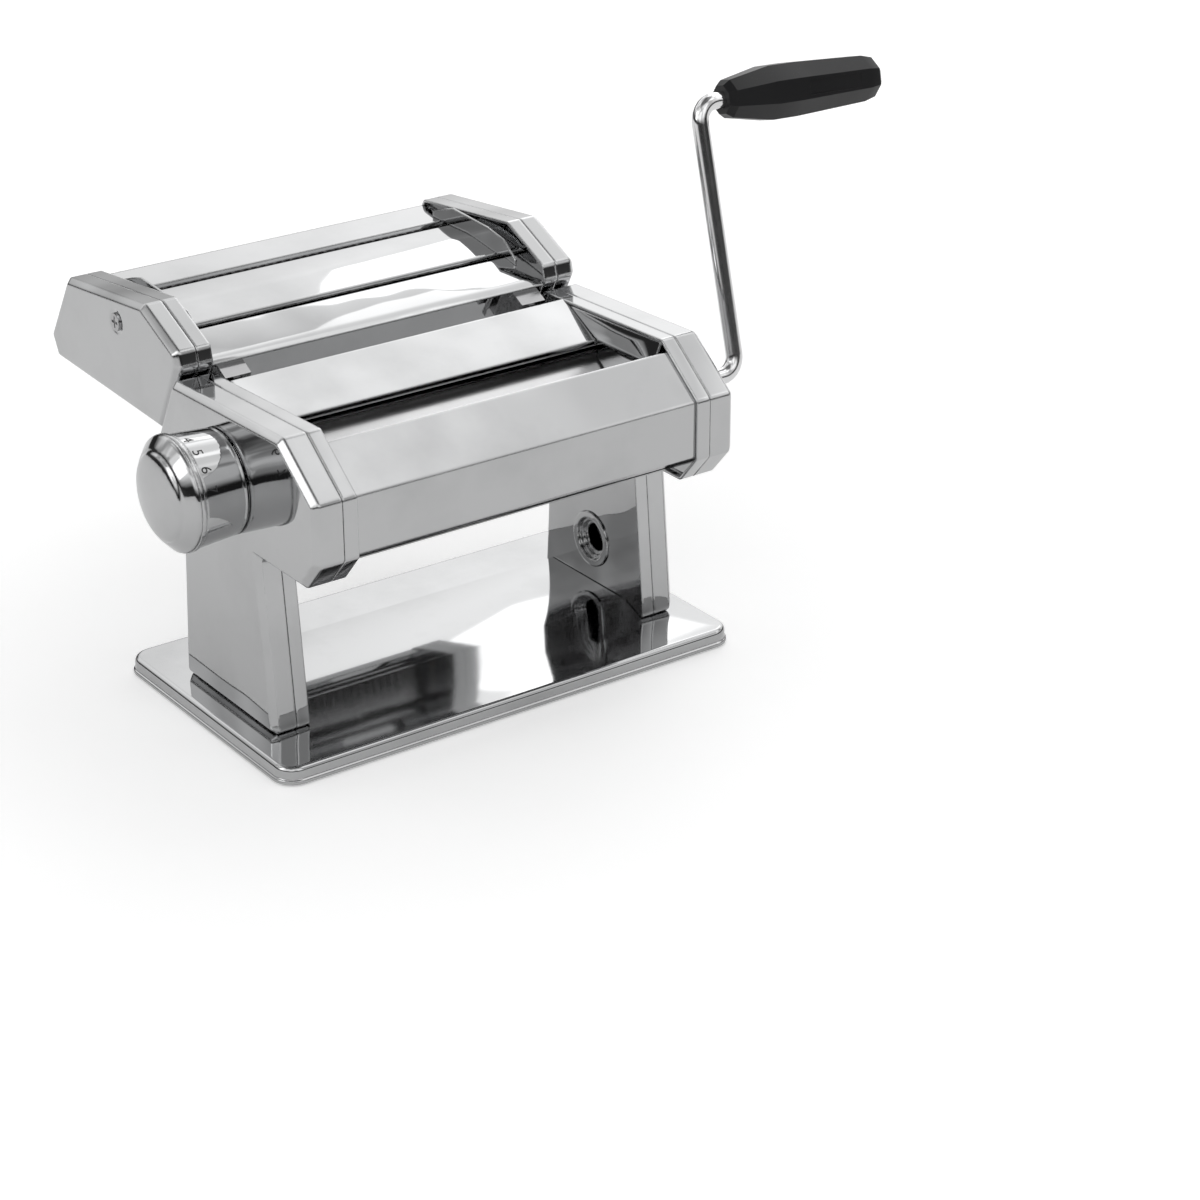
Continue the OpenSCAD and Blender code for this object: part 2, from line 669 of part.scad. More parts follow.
carrier_x = roller_end_x - 12;
lobe_low = lobe_throw * (1 + cos(full_turn / 2)) / 2;
lobe_rise = lobe_throw * (1 - cos(full_turn / 2)) / 2 + 0.1;
module roller_carriers() {
    color("peru") both_sides() difference() {
        rod_x(carrier_x - lobe_w, carrier_x, carrier_d, adj_roller_y, nip_z);
        translate([carrier_x - lobe_w - 1, adj_roller_y, nip_z - lobe_low]) {
            for (s = [-1, 1]) translate([0, 0, s * lobe_rise]) rotate([0, 90, 0])
                cylinder(h = lobe_w + 2, d = lobe_d + 2 * lobe_play, $fn = fine);
            translate([0, -lobe_d / 2 - lobe_play, -lobe_rise])
                cube([lobe_w + 2, lobe_d + 2 * lobe_play, 2 * lobe_rise]);
        }
    }
}
knob_x = face_x + 0.5;
knob_front_x = knob_x + knob_len;
shaft_end_x = knob_front_x + 1.5;
module thickness_shaft() {
    color(steel) {
        rod_x(-shaft_end_x, face_in_x - 0.4, shaft_d, shaft_y, nip_z);
        both_sides() rod_x(carrier_x - lobe_w + 0.2, carrier_x - 0.2, lobe_d,
              shaft_y + lobe_throw * sin(rest_turn), nip_z - lobe_throw * cos(rest_turn));
    }
}

// ---------------------------------------------------------------- knob
web_of_knob_x = knob_x + 2;
knob_web_t = 2;
pin_d = 3;
module index_place() {
    translate([0, shaft_y, nip_z + index_r]) children();
}
module index_pin() {
    color(steel) mirror([1, 0, 0]) index_place() {
        rod_x(face_in_x, web_of_knob_x - 0.3, pin_d, 0, 0);
        rod_x(face_in_x - 1.5, face_in_x, pin_d + 2.5, 0, 0);
    }
}
// Turned about X: profile points are [distance outwards along -X, radius]
module turned_left(y, z, profile) {
    translate([0, y, z]) rotate([0, -90, 0]) rotate_extrude($fn = 96) polygon([for (p = profile) [p[1], p[0]]]);
}
module knob_drum() {
    r0 = knob_d / 2;
    r1 = knob_rim_d / 2;
    w = knob_wall;
    color(chrome) difference() {
        turned_left(shaft_y, nip_z, [
            [knob_x, r0 - w], [knob_x, r0 - 0.4], [knob_x + 0.4, r0], [knob_x + 1.2, r0 - 0.5], [knob_x + 2, r0],
            [knob_front_x - 2.6, r1 - 0.7], [knob_front_x - 2.2, r1 - 1.1], [knob_front_x - 1.8, r1],
            [knob_front_x, r1], [knob_front_x, r1 - w],
            [web_of_knob_x + knob_web_t, r0 - w], [web_of_knob_x + knob_web_t, shaft_d / 2 + 3],
            [web_of_knob_x + knob_web_t + 2.5, shaft_d / 2 + 3],
            [web_of_knob_x + knob_web_t + 2.5, shaft_d / 2 + 0.08], [web_of_knob_x, shaft_d / 2 + 0.08],
            [web_of_knob_x, r0 - w]]);
        for (k = [0 : settings - 1]) translate([0, shaft_y, nip_z])
            rotate([(k - 4) * setting_step, 0, 0]) translate([-web_of_knob_x - 3, 0, index_r])
                rotate([0, 90, 0]) cylinder(h = 4, d = pin_d + 0.6, $fn = 32);
    }
}
module knob_cap() {
    r1 = knob_rim_d / 2;
    face_r = r1 - 5.6;
    cap_x = knob_front_x;
    flat_x = cap_x + knob_cap_h - 3.6;
    dome = [for (k = [0 : 6]) let (a = k * 15) [flat_x + (knob_cap_h - (flat_x - cap_x)) * sin(a), face_r * cos(a)]];
    inner = [for (k = [6 : -1 : 0]) let (a = k * 15)
        [flat_x + (knob_cap_h - (flat_x - cap_x)) * sin(a) - knob_wall, (face_r - 0.5) * cos(a)]];
    color(chrome) turned_left(shaft_y, nip_z, concat(
        [[cap_x, r1 - knob_wall], [cap_x, r1], [cap_x + 1.4, r1 - 0.4], [flat_x - 0.6, face_r + 1.4]],
        dome, inner, [[cap_x + 1.4, r1 - knob_wall - 0.6]]));
}
spring_r = shaft_d / 2 + 2.2;
spring_wire = 1.1;
spring_from = web_of_knob_x + knob_web_t + 2.5 + spring_wire / 2 + 0.2;
spring_to = shaft_end_x - 2.4 - spring_wire / 2 - 0.2;
spring_turns = 4;
// Round wire wound on a helix, eight sides
module knob_spring() {
    rings = spring_turns * 16;
    rise = (spring_to - spring_from) / rings;
    pts = [for (i = [0 : rings], k = [0 : 7])
        let (a = i * 22.5, b = k * 45, r = spring_r + spring_wire / 2 * cos(b))
            [-(spring_from + i * rise + spring_wire / 2 * sin(b)), shaft_y + r * cos(a), nip_z + r * sin(a)]];
    last = rings * 8;
    color(steel) polyhedron(points = pts, faces = concat(
        [[for (k = [0 : 7]) k]], [[for (k = [7 : -1 : 0]) last + k]],
        [for (i = [0 : rings - 1], k = [0 : 7]) let (m = (k + 1) % 8)
            [i * 8 + m, i * 8 + k, i * 8 + 8 + k, i * 8 + 8 + m]]));
}
module knob_retainer() {
    color(steel) difference() {
        rod_x(-shaft_end_x + 0.4, -shaft_end_x + 2.4, 2 * spring_r + 3, shaft_y, nip_z);
        rod_x(-shaft_end_x - 1, -shaft_end_x + 4, shaft_d + 0.1, shaft_y, nip_z);
    }
}

// ---------------------------------------------------------------- crank
arm_x = face_x + crank_reach;
// Moves to the crank axis, with Z along the arm
module at_crank() {
    translate([0, fixed_roller_y, nip_z]) rotate([-crank_lean, 0, 0]) children();
}
// Moves to the grip pin, with X along it, at the arm's centre line
module at_pin() {
    at_crank() translate([arm_x, 0, crank_throw]) rotate([0, pin_cant, 0]) children();
}
pin_len = 62;
// The upper bend turns by a right angle and the tilt of the pin, tangent to arm and pin
top_bend_z = crank_throw - bend_r * cos(pin_cant) - bend_r * (1 + sin(pin_cant)) * tan(pin_cant);
rod_path = concat(
    [[socket_x - socket_depth + 1, 0]],
    [for (k = [0 : 7]) [arm_x - bend_r, bend_r] + polar(bend_r, -90 + k * 90 / 7)],
    [for (k = [0 : 7]) [arm_x + bend_r, top_bend_z] + polar(bend_r, 180 - k * (90 + pin_cant) / 7)],
    [[arm_x, crank_throw] + (bend_r + pin_len) * [cos(pin_cant), -sin(pin_cant)]]);
// Round rod along a path in the plane of X and the arm
module bent_rod(path, d, sides) {
    last = len(path) - 1;
    pts = [for (i = [0 : last])
        let (n1 = left_of(path[max(i, 1)] - path[max(i, 1) - 1]),
             n2 = left_of(path[min(i, last - 1) + 1] - path[min(i, last - 1)]),
             n = i == 0 ? n2 : i == last ? n1 : (n1 + n2) / (1 + n1 * n2))
            for (k = [0 : sides - 1]) let (q = path[i] + n * cos(k * 360 / sides) * d / 2)
                [q[0], -sin(k * 360 / sides) * d / 2, q[1]]];
    polyhedron(points = pts, faces = concat(
        [[for (k = [0 : sides - 1]) k]], [[for (k = [sides - 1 : -1 : 0]) last * sides + k]],
        [for (i = [0 : last - 1], k = [0 : sides - 1]) let (m = (k + 1) % sides)
            [i * sides + m, i * sides + k, (i + 1) * sides + k, (i + 1) * sides + m]]));
}
module crank_rod() {
    color(chrome) at_crank() difference() {
        bent_rod(rod_path, rod_d, 32);
        translate([socket_x - socket_depth, 0, 0]) rotate([0, 90, 0])
            linear_extrude(socket_depth / 2 + 0.5) difference() {
                square(2 * rod_d, center = true);
                rotate(crank_lean) intersection() {
                    circle(d = tang_d, $fn = 32);
                    square([2 * flat_half, rod_d], center = true);
                }
            }
    }
}
module grip_ring(x, d) {
    translate([x, 0, 0]) rotate([0, 90, 0]) rotate(22.5) cylinder(h = 0.5, d = d, $fn = 8);
}
grip_from = bend_r + 4;
module crank_grip() {
    g = grip_from;
    w = grip_d / cos(22.5);
    color(black) at_pin() difference() {
        union() {
            hull() { grip_ring(g, 0.52 * w); grip_ring(g + 3, 0.7 * w); grip_ring(g + 22, 1 * w); }
            hull() { grip_ring(g + 22, 1 * w); grip_ring(g + 34, w); }
            hull() { grip_ring(g + 34, w); grip_ring(g + grip_len - 9, 0.86 * w); }
            hull() { grip_ring(g + grip_len - 9, 0.86 * w); grip_ring(g + grip_len - 3, 0.74 * w);
                     grip_ring(g + grip_len - 0.5, 0.5 * w); }
        }
        rod_x(g - 1, g + 52, rod_d + 0.12, 0, 0);
        rod_x(g + 51.8, g + 60, rod_d + 4, 0, 0);
        for (s = [-1, 1]) translate([g + 38, s * (grip_d / 2 - 0.8), -3]) rotate([0, 0, s * -1.2])
            translate([0, s > 0 ? 0 : -3, 0]) cube([grip_len - 52, 3, 6]);
    }
}
module grip_clip() {
    color(steel) at_pin() difference() {
        rod_x(grip_from + 52.1, grip_from + 53.4, rod_d + 3, 0, 0);
        rod_x(grip_from + 51, grip_from + 55, rod_d, 0, 0);
    }
}

// ---------------------------------------------------------------- cutter unit
cap_x = web_x + cap_depth;
cap_in_x = cap_x - sheet_t;
cap_low_z = floor_z + 26.5;
cap_outline = [
    [split_y_at(cap_low_z) + split_play, cap_low_z],
    [narrow_y + 35.5, cap_low_z + 3],
    [narrow_y + 40.5, cap_low_z + 13],
    [narrow_y + 22.5, narrow_z + 15],
    [wide_y + 0.5, wide_z + 26.2],
    [split_y_at(wide_z + 14.4) + split_play + 5, wide_z + 14.4],
    [split_y_at(wide_z + 8) + split_play, wide_z + 8]
];
cut_axes = [[wide_y, wide_z], [narrow_y, narrow_z]];
cut_journal_d = 12;
mid_pair_y = (wide_y + narrow_y) / 2 + 1;
screw_dish = 0.7;
module cutter_side() {
    difference() {
        union() {
            yz(web_x, plate_x) polygon(rounded(cap_outline, corner_r));
            ring_yz(rim_x, web_x, cap_outline, sheet_t, corner_r);
            ring_yz(plate_x, seam_x, cap_outline, sheet_t, corner_r);
        }
        for (p = cut_axes, s = [-1, 1])
            rod_x(rim_x, seam_x, bush_d + 2 * slack, p[0] + s * cut_pair / 2, p[1]);
        cutter_tie_places() rod_x(rim_x, seam_x, tie_thread_d - 0.6, 0, 0);
        screw_place() rod_x(rim_x, seam_x, 5, 0, 0);
    }
}
module cutter_side_left() {
    color(chrome) mirror([1, 0, 0]) cutter_side();
}
module cutter_side_right() {
    color(chrome) cutter_side();
}
module cutter_cap() {
    difference() {
        bevelled_shell(seam_x + seam, cap_x, cap_outline, [cap_outline], corner_r);
        screw_place() {
            rod_x(cap_in_x - 3, cap_x + 1, 4.4, 0, 0);
            translate([cap_x - screw_dish, 0, 0]) rotate([0, 90, 0])
                cylinder(h = screw_dish + 0.1, d1 = 8.6, d2 = 12, $fn = fine);
        }
        children();
    }
}
module screw_place() {
    translate([0, mid_pair_y, wide_z + 13]) children();
}
module cutter_cap_left() {
    color(chrome) mirror([1, 0, 0]) cutter_cap() {}
}
module cutter_cap_right() {
    color(chrome) cutter_cap()
        for (p = cut_axes) rod_x(cap_in_x - 3, cap_x + 1, crank_hole_d, p[0] - cut_pair / 2, p[1]);
}
module cutter_plates() {
    color(steel) both_sides() difference() {
        yz(plate_x, plate_out_x) polygon(rounded(inset(cap_outline, sheet_t + seam), corner_r));
        for (p = cut_axes, s = [-1, 1])
            rod_x(plate_x - 1, plate_out_x + 1, bush_d + 2 * slack, p[0] + s * cut_pair / 2, p[1]);
        cutter_tie_places() rod_x(plate_x - 1, plate_out_x + 1, tie_thread_d - 0.6, 0, 0);
        screw_place() rod_x(plate_x - 1, plate_out_x + 1, 5, 0, 0);
    }
}
module cutter_tie_places() {
    drop = cut_roll_d / 2 + tie_clear;
    for (p = [[wide_y - 5, wide_z - drop - 3.5], [mid_pair_y, wide_z - drop - 0.5],
              [narrow_y + cut_pair / 2 + drop + 4.8, narrow_z - cut_roll_d / 2 + 2]])
        translate([0, p[0], p[1]]) children();
}
module cutter_tie_rods() {
    color(steel) {
        cutter_tie_places() {
            rod_x(-web_x, web_x, 7, 0, 0);
            both_sides() {
                rod_x(web_x, plate_out_x, tie_thread_d - 1, 0, 0);
                rod_x(plate_out_x, plate_out_x + 1.2, 8, 0, 0);
            }
        }
        screw_place() both_sides() {
            rod_x(web_x, plate_out_x, 4.6, 0, 0);
            rod_x(plate_out_x, cap_in_x, 7, 0, 0);
        }
    }
}
module cutter_screws() {
    color(steel) screw_place() both_sides() difference() {
        union() {
            rod_x(cap_x - screw_dish, cap_x + 0.7, 7.4, 0, 0);
            rod_x(cap_in_x, cap_x - screw_dish, 4, 0, 0);
        }
        for (a = [0, 90]) translate([cap_x - 0.1, 0, 0]) rotate([a, 0, 0]) translate([0, -2.4, -0.5]) cube([2, 4.8, 1]);
    }
}
module cutter_bushes() {
    color("peru") for (p = cut_axes, s = [-1, 1]) {
        y = p[0] + s * cut_pair / 2;
        bush(web_x, plate_out_x, y, p[1], bush_d, (s < 0 ? cut_journal_d : shaft_d) + 0.1);
        bush(-plate_out_x, -web_x, y, p[1], bush_d, shaft_d + 0.1);
    }
}
slot_half = slot_w / 2;
deck_t = 1;
deck_half = web_x - seam;
wide_lip = [wide_y, wide_z + 12.6];
narrow_lip = [narrow_y, narrow_z + 11.4];
cap_under = inset(cap_outline, sheet_t + seam);
crest = [narrow_y + 23.5, narrow_z + 12.2];
ridge = [mid_pair_y, (wide_lip[1] + narrow_lip[1]) / 2 + 1.6];
brow = [split_y_at(wide_z + 6.4) + split_play, wide_z + 6.4];
// Clears the ends of a deck where it passes under the rims of the cutter sides
module rim_notch() {
    both_sides() yz(rim_x - seam, web_x) difference() {
        translate([split_y - 10, cap_low_z - 10]) square([narrow_y + 40, 90]);
        polygon(rounded(cap_under, corner_r - sheet_t));
    }
}
module cutter_deck_rear() {
    color(chrome) difference() {
        yz(-deck_half, deck_half)
            strip([cap_under[1] + [-9, 0.6], cap_under[1], cap_under[2], crest, narrow_lip + [slot_half, 0],
                   narrow_lip + [slot_half - 0.5, -2.4]], deck_t);
        rim_notch();
    }
}
module cutter_deck_middle() {
    color(chrome) yz(-deck_half, deck_half)
        strip([narrow_lip + [-slot_half + 0.5, -2.4], narrow_lip + [-slot_half, 0], ridge + [2.4, -0.1],
               ridge + [-2.4, -0.7], wide_lip + [slot_half, 0], wide_lip + [slot_half - 0.5, -2]], deck_t);
}
module cutter_deck_front() {
    foot = brow + 28 * [sin(split_lean), -cos(split_lean)];
    color(chrome) difference() {
        yz(-deck_half, deck_half)
            strip([wide_lip + [-slot_half + 0.5, -2], wide_lip + [-slot_half, 0], brow + [4, 2.4], brow,
                   foot, foot + [3.5, 0.5]], deck_t);
        rim_notch();
    }
}
// Upright plates that keep the sheet away from the ends of the slots
guide_in_x = sheet_w / 2 - 1;
module cutter_guides() {
    front = wide_lip + [-slot_half, 0];
    back = narrow_lip + [slot_half, 0];
    nose = front + 0.4 * (brow + [4, 2.4] - front);
    tail = back + 0.3 * (crest - back);
    color(steel) both_sides() yz(guide_in_x, guide_in_x + guide_t) polygon([
        nose, front, wide_lip + [slot_half, 0], ridge + [-2.4, -0.7], ridge + [2.4, -0.1],
        narrow_lip + [-slot_half, 0], back, tail,
        tail + [0, 2.6], narrow_lip + [2, 5.6], narrow_lip + [-6, 8], wide_lip + [10, 9.6], wide_lip + [-2, 7.6],
        nose + [0, 2.4]]);
}
// Rails on the body and the shoes of the cutter unit that drop over them.
// Profiles are drawn in (x, distance from the joint) and run up along the joint.
rail_in = 10.8;
rail_x = web_x - rail_in;
rail_head_w = 8;
rail_stem_w = 3.2;
rail_top_z = wide_z + 3;
rail_low_z = cap_low_z + 5;
wall_n = (chute_top[0] + 1.8 - split_y_at(chute_top[1] - 0.9)) * cos(split_lean);
deck_n = split_play * cos(split_lean);
head_n = [-4.3, -2.1];
shoe_play = 0.5;
module up_the_joint(z0, z1) {
    translate([0, split_y_at(z0), z0]) rotate([split_lean, 0, 0])
        linear_extrude((z1 - z0) / cos(split_lean)) children();
}
module rails() {
    h = rail_head_w / 2;
    t = rail_stem_w / 2;
    color(steel) both_sides() up_the_joint(rail_low_z, rail_top_z) translate([rail_x, 0]) polygon([
        [-6, wall_n], [6, wall_n], [6, wall_n + 1.5], [t, wall_n + 1.5], [t, head_n[0]], [h, head_n[0]],
        [h, head_n[1]], [-h, head_n[1]], [-h, head_n[0]], [-t, head_n[0]], [-t, wall_n + 1.5], [-6, wall_n + 1.5]]);
}
module rail_shoes() {
    h = rail_head_w / 2 + shoe_play;
    t = rail_stem_w / 2 + shoe_play;
    w = h + 1.2;
    lip_n = head_n[0] - shoe_play;
    roof_n = head_n[1] + shoe_play;
    color(steel) both_sides() {
        up_the_joint(rail_low_z + 1, rail_top_z + 0.3) translate([rail_x, 0]) polygon([
            [-w, lip_n - 1.2], [-t, lip_n - 1.2], [-t, lip_n], [-h, lip_n], [-h, roof_n], [h, roof_n],
            [h, lip_n], [t, lip_n], [t, lip_n - 1.2], [w, lip_n - 1.2], [w, deck_n - slack], [-w, deck_n - slack]]);
        up_the_joint(rail_top_z + 0.3, rail_top_z + 1.4) translate([rail_x, 0])
            polygon([[-w, lip_n - 1.2], [w, lip_n - 1.2], [w, deck_n - slack], [-w, deck_n - slack]]);
    }
}

// Cutting roll along X with ridges of strip width less play, starting at phase 0 or 1
module cutting_roll(y, z, strip_w, phase) {
    root_d = cut_roll_d - 2 * groove_depth;
    n = floor(sheet_w / strip_w / 2);
    rod_x(-roller_end_x, roller_end_x, root_d, y, z);
    for (i = [0 : n - 1]) let (x = (i - n / 2) * 2 * strip_w + phase * strip_w)
        rod_x(x + ridge_play, x + strip_w - ridge_play, cut_roll_d, y, z);
}
module driven_roll(y, z, strip_w) {
    difference() {
        union() {
            cutting_roll(y, z, strip_w, 0);
            rod_x(-plate_out_x - 1, -roller_end_x, shaft_d, y, z);
            rod_x(roller_end_x, cap_in_x - 1, cut_journal_d, y, z);
        }
        drive_socket(cap_in_x - 1, y, z);
    }
}
module mate_roll(y, z, strip_w) {
    cutting_roll(y, z, strip_w, 1);
    rod_x(-plate_out_x - 1, -roller_end_x, shaft_d, y, z);
    rod_x(roller_end_x, cut_gear_x + cut_gear_w + 0.6, shaft_d, y, z);
}
module wide_roll_driven() {
    color(steel) driven_roll(wide_y - cut_pair / 2, wide_z, wide_strip);
}
module wide_roll_mate() {
    color(steel) mate_roll(wide_y + cut_pair / 2, wide_z, wide_strip);
}
module narrow_roll_driven() {
    color(steel) driven_roll(narrow_y - cut_pair / 2, narrow_z, narrow_strip);
}
module narrow_roll_mate() {
    color(steel) mate_roll(narrow_y + cut_pair / 2, narrow_z, narrow_strip);
}
cut_gear_x = plate_out_x + 1;
cut_gear_w = 5;
module cut_gear(y, z, bore, phase) {
    color("darkgray") translate([cut_gear_x, y, z]) rotate([90, 0, 90]) linear_extrude(cut_gear_w) difference() {
        rotate(phase) polygon(gear_outline(gear_teeth, cut_pair, cut_pair / 2 + 1.25, cut_pair / 2 - 1.6, 0.3));
        circle(d = bore, $fn = fine);
    }
}
module wide_gear_driven() {
    cut_gear(wide_y - cut_pair / 2, wide_z, cut_journal_d + 2 * slack, 0);
}
module wide_gear_mate() {
    cut_gear(wide_y + cut_pair / 2, wide_z, shaft_d + 2 * slack, half_tooth);
}
module narrow_gear_driven() {
    cut_gear(narrow_y - cut_pair / 2, narrow_z, cut_journal_d + 2 * slack, 0);
}
module narrow_gear_mate() {
    cut_gear(narrow_y + cut_pair / 2, narrow_z, shaft_d + 2 * slack, half_tooth);
}
// Comb of fingers that lifts the ribbons out of the grooves of one roll
module comb(y, z, s, strip_w, phase) {
    n = floor(sheet_w / strip_w / 2);
    finger = strip_w - 2 * ridge_play - 0.5;
    bar_z = z - cut_roll_d / 2 - 2.2;
    translate([-web_x, y + (s > 0 ? 2 : -5), bar_z]) cube([2 * web_x, 3, 1.4]);
    for (i = [0 : n - 1])
        translate([(2 * i - n + phase) * strip_w + (strip_w - finger) / 2, y + (s > 0 ? 2 : -4), bar_z + 1.4])
            cube([finger, 2, groove_depth + 0.2]);
}
module combs() {
    color(steel) {
        comb(wide_y - cut_pair / 2, wide_z, -1, wide_strip, 1);
        comb(wide_y + cut_pair / 2, wide_z, 1, wide_strip, 0);
        comb(narrow_y - cut_pair / 2, narrow_z, -1, narrow_strip, 1);
        comb(narrow_y + cut_pair / 2, narrow_z, 1, narrow_strip, 0);
    }
}

base_plate();
base_feet();
leg_screws();
inner_housing_left();
inner_housing_right();
outer_housing_left();
outer_housing_right();
bearing_plates();
clamp_bush();
tie_rods();
tie_nuts();
front_cover();
rear_cover();
dough_guide_left();
dough_guide_right();
scraper_front();
scraper_rear();
roller_bushes();
shaft_bushes();
index_pin();
rails();
fixed_roller();
fixed_roller_gear();
thickness_roller();
thickness_roller_gear();
roller_carriers();
thickness_shaft();
knob_drum();
knob_cap();
knob_spring();
knob_retainer();
crank_rod();
crank_grip();
grip_clip();
cutter_side_left();
cutter_side_right();
cutter_cap_left();
cutter_cap_right();
cutter_plates();
cutter_deck_rear();
cutter_deck_middle();
cutter_deck_front();
cutter_guides();
cutter_tie_rods();
cutter_bushes();
cutter_screws();
rail_shoes();
combs();
wide_roll_driven();
wide_roll_mate();
narrow_roll_driven();
narrow_roll_mate();
wide_gear_driven();
wide_gear_mate();
narrow_gear_driven();
narrow_gear_mate();
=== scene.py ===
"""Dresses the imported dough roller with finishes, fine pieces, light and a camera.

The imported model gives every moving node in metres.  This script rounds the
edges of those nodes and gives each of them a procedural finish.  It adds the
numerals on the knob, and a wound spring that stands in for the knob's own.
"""

from __future__ import annotations

import logging
import math
from dataclasses import dataclass
from enum import Enum

import bpy
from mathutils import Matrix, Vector


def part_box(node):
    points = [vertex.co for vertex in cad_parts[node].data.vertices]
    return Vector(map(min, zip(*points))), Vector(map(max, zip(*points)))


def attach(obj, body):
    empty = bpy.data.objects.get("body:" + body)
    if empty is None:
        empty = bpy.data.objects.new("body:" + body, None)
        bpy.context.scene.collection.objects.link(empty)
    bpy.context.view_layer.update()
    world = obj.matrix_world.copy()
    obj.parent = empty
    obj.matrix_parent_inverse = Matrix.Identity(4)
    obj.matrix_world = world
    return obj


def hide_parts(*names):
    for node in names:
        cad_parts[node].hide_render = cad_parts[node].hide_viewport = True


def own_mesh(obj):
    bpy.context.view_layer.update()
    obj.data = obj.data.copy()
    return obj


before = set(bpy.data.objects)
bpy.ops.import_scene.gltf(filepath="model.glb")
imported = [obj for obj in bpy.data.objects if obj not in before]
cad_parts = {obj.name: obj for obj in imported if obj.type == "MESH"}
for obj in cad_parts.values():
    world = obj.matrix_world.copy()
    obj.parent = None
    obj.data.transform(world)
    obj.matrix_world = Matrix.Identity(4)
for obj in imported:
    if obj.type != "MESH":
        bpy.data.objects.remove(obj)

log = logging.getLogger("dough_roller")
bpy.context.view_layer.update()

Colour = tuple[float, float, float]
Point = tuple[float, float, float]


# --------------------------------------------------------------------------
# Sizes in metres, in the frame of the CAD model
# --------------------------------------------------------------------------
@dataclass(frozen=True)
class KnobAxis:
    """The line along X that the knob turns about."""

    y: float = -0.00635
    z: float = 0.105


@dataclass(frozen=True)
class CameraSizes:
    """Where the camera stands and how long its lens is."""

    place: Point = (-0.6057, -0.9525, 0.5646)
    yaw_deg: float = 35.938
    pitch_deg: float = 25.570
    lens_mm: float = 91.93
    sensor_mm: float = 36.0
    clip: tuple[float, float] = (0.05, 30.0)


# --------------------------------------------------------------------------
# Settings of the textures
# --------------------------------------------------------------------------
# Noise: features in each metre (over the whole surround for the panels), finer
# layers, and how strong those layers are.
EDGE_NOISE = (180.0, 4.0, 0.5)
SMUDGE_NOISE = (14.0, 5.0, 0.6)
SPECK_NOISE = (900.0, 2.0, 0.5)
GRAIN_NOISE = (1.0, 4.0, 0.6)
WARP_NOISE = (22.0, 1.0, 0.4)
PEBBLE_NOISE = (2200.0, 2.0, 0.5)
PANEL_NOISE = (2.6, 2.0, 0.5)

# Ranges: the value that shows nothing, then the value that shows in full.
EDGE_TURN = (0.995, 0.93)
EDGE_PATCHES = (0.4, 0.65)
SMUDGE_SEEN = (0.45, 0.75)
SPECK_SEEN = (0.66, 0.74)
FACING_UP = (0.6, 1.0)
PANEL_SEEN = (0.42, 0.56)
WALL_SEEN = (0.84, 0.97)

EDGE_SAMPLES = 4
SOFTEN_SAMPLES = 6
WEAR_WIDTH = 0.0005
WARP_HEIGHT = 0.001
DUST_COLOUR: Colour = (0.55, 0.54, 0.52)
DUST_ROUGHNESS = 0.5
NODE_STEP = 190.0

# Modifiers and shading of the meshes.
FLAT_DEG = 0.4
SMOOTH_DEG = 30.0
SHARP_DEG = 34.0
FACE_WEIGHT = 60


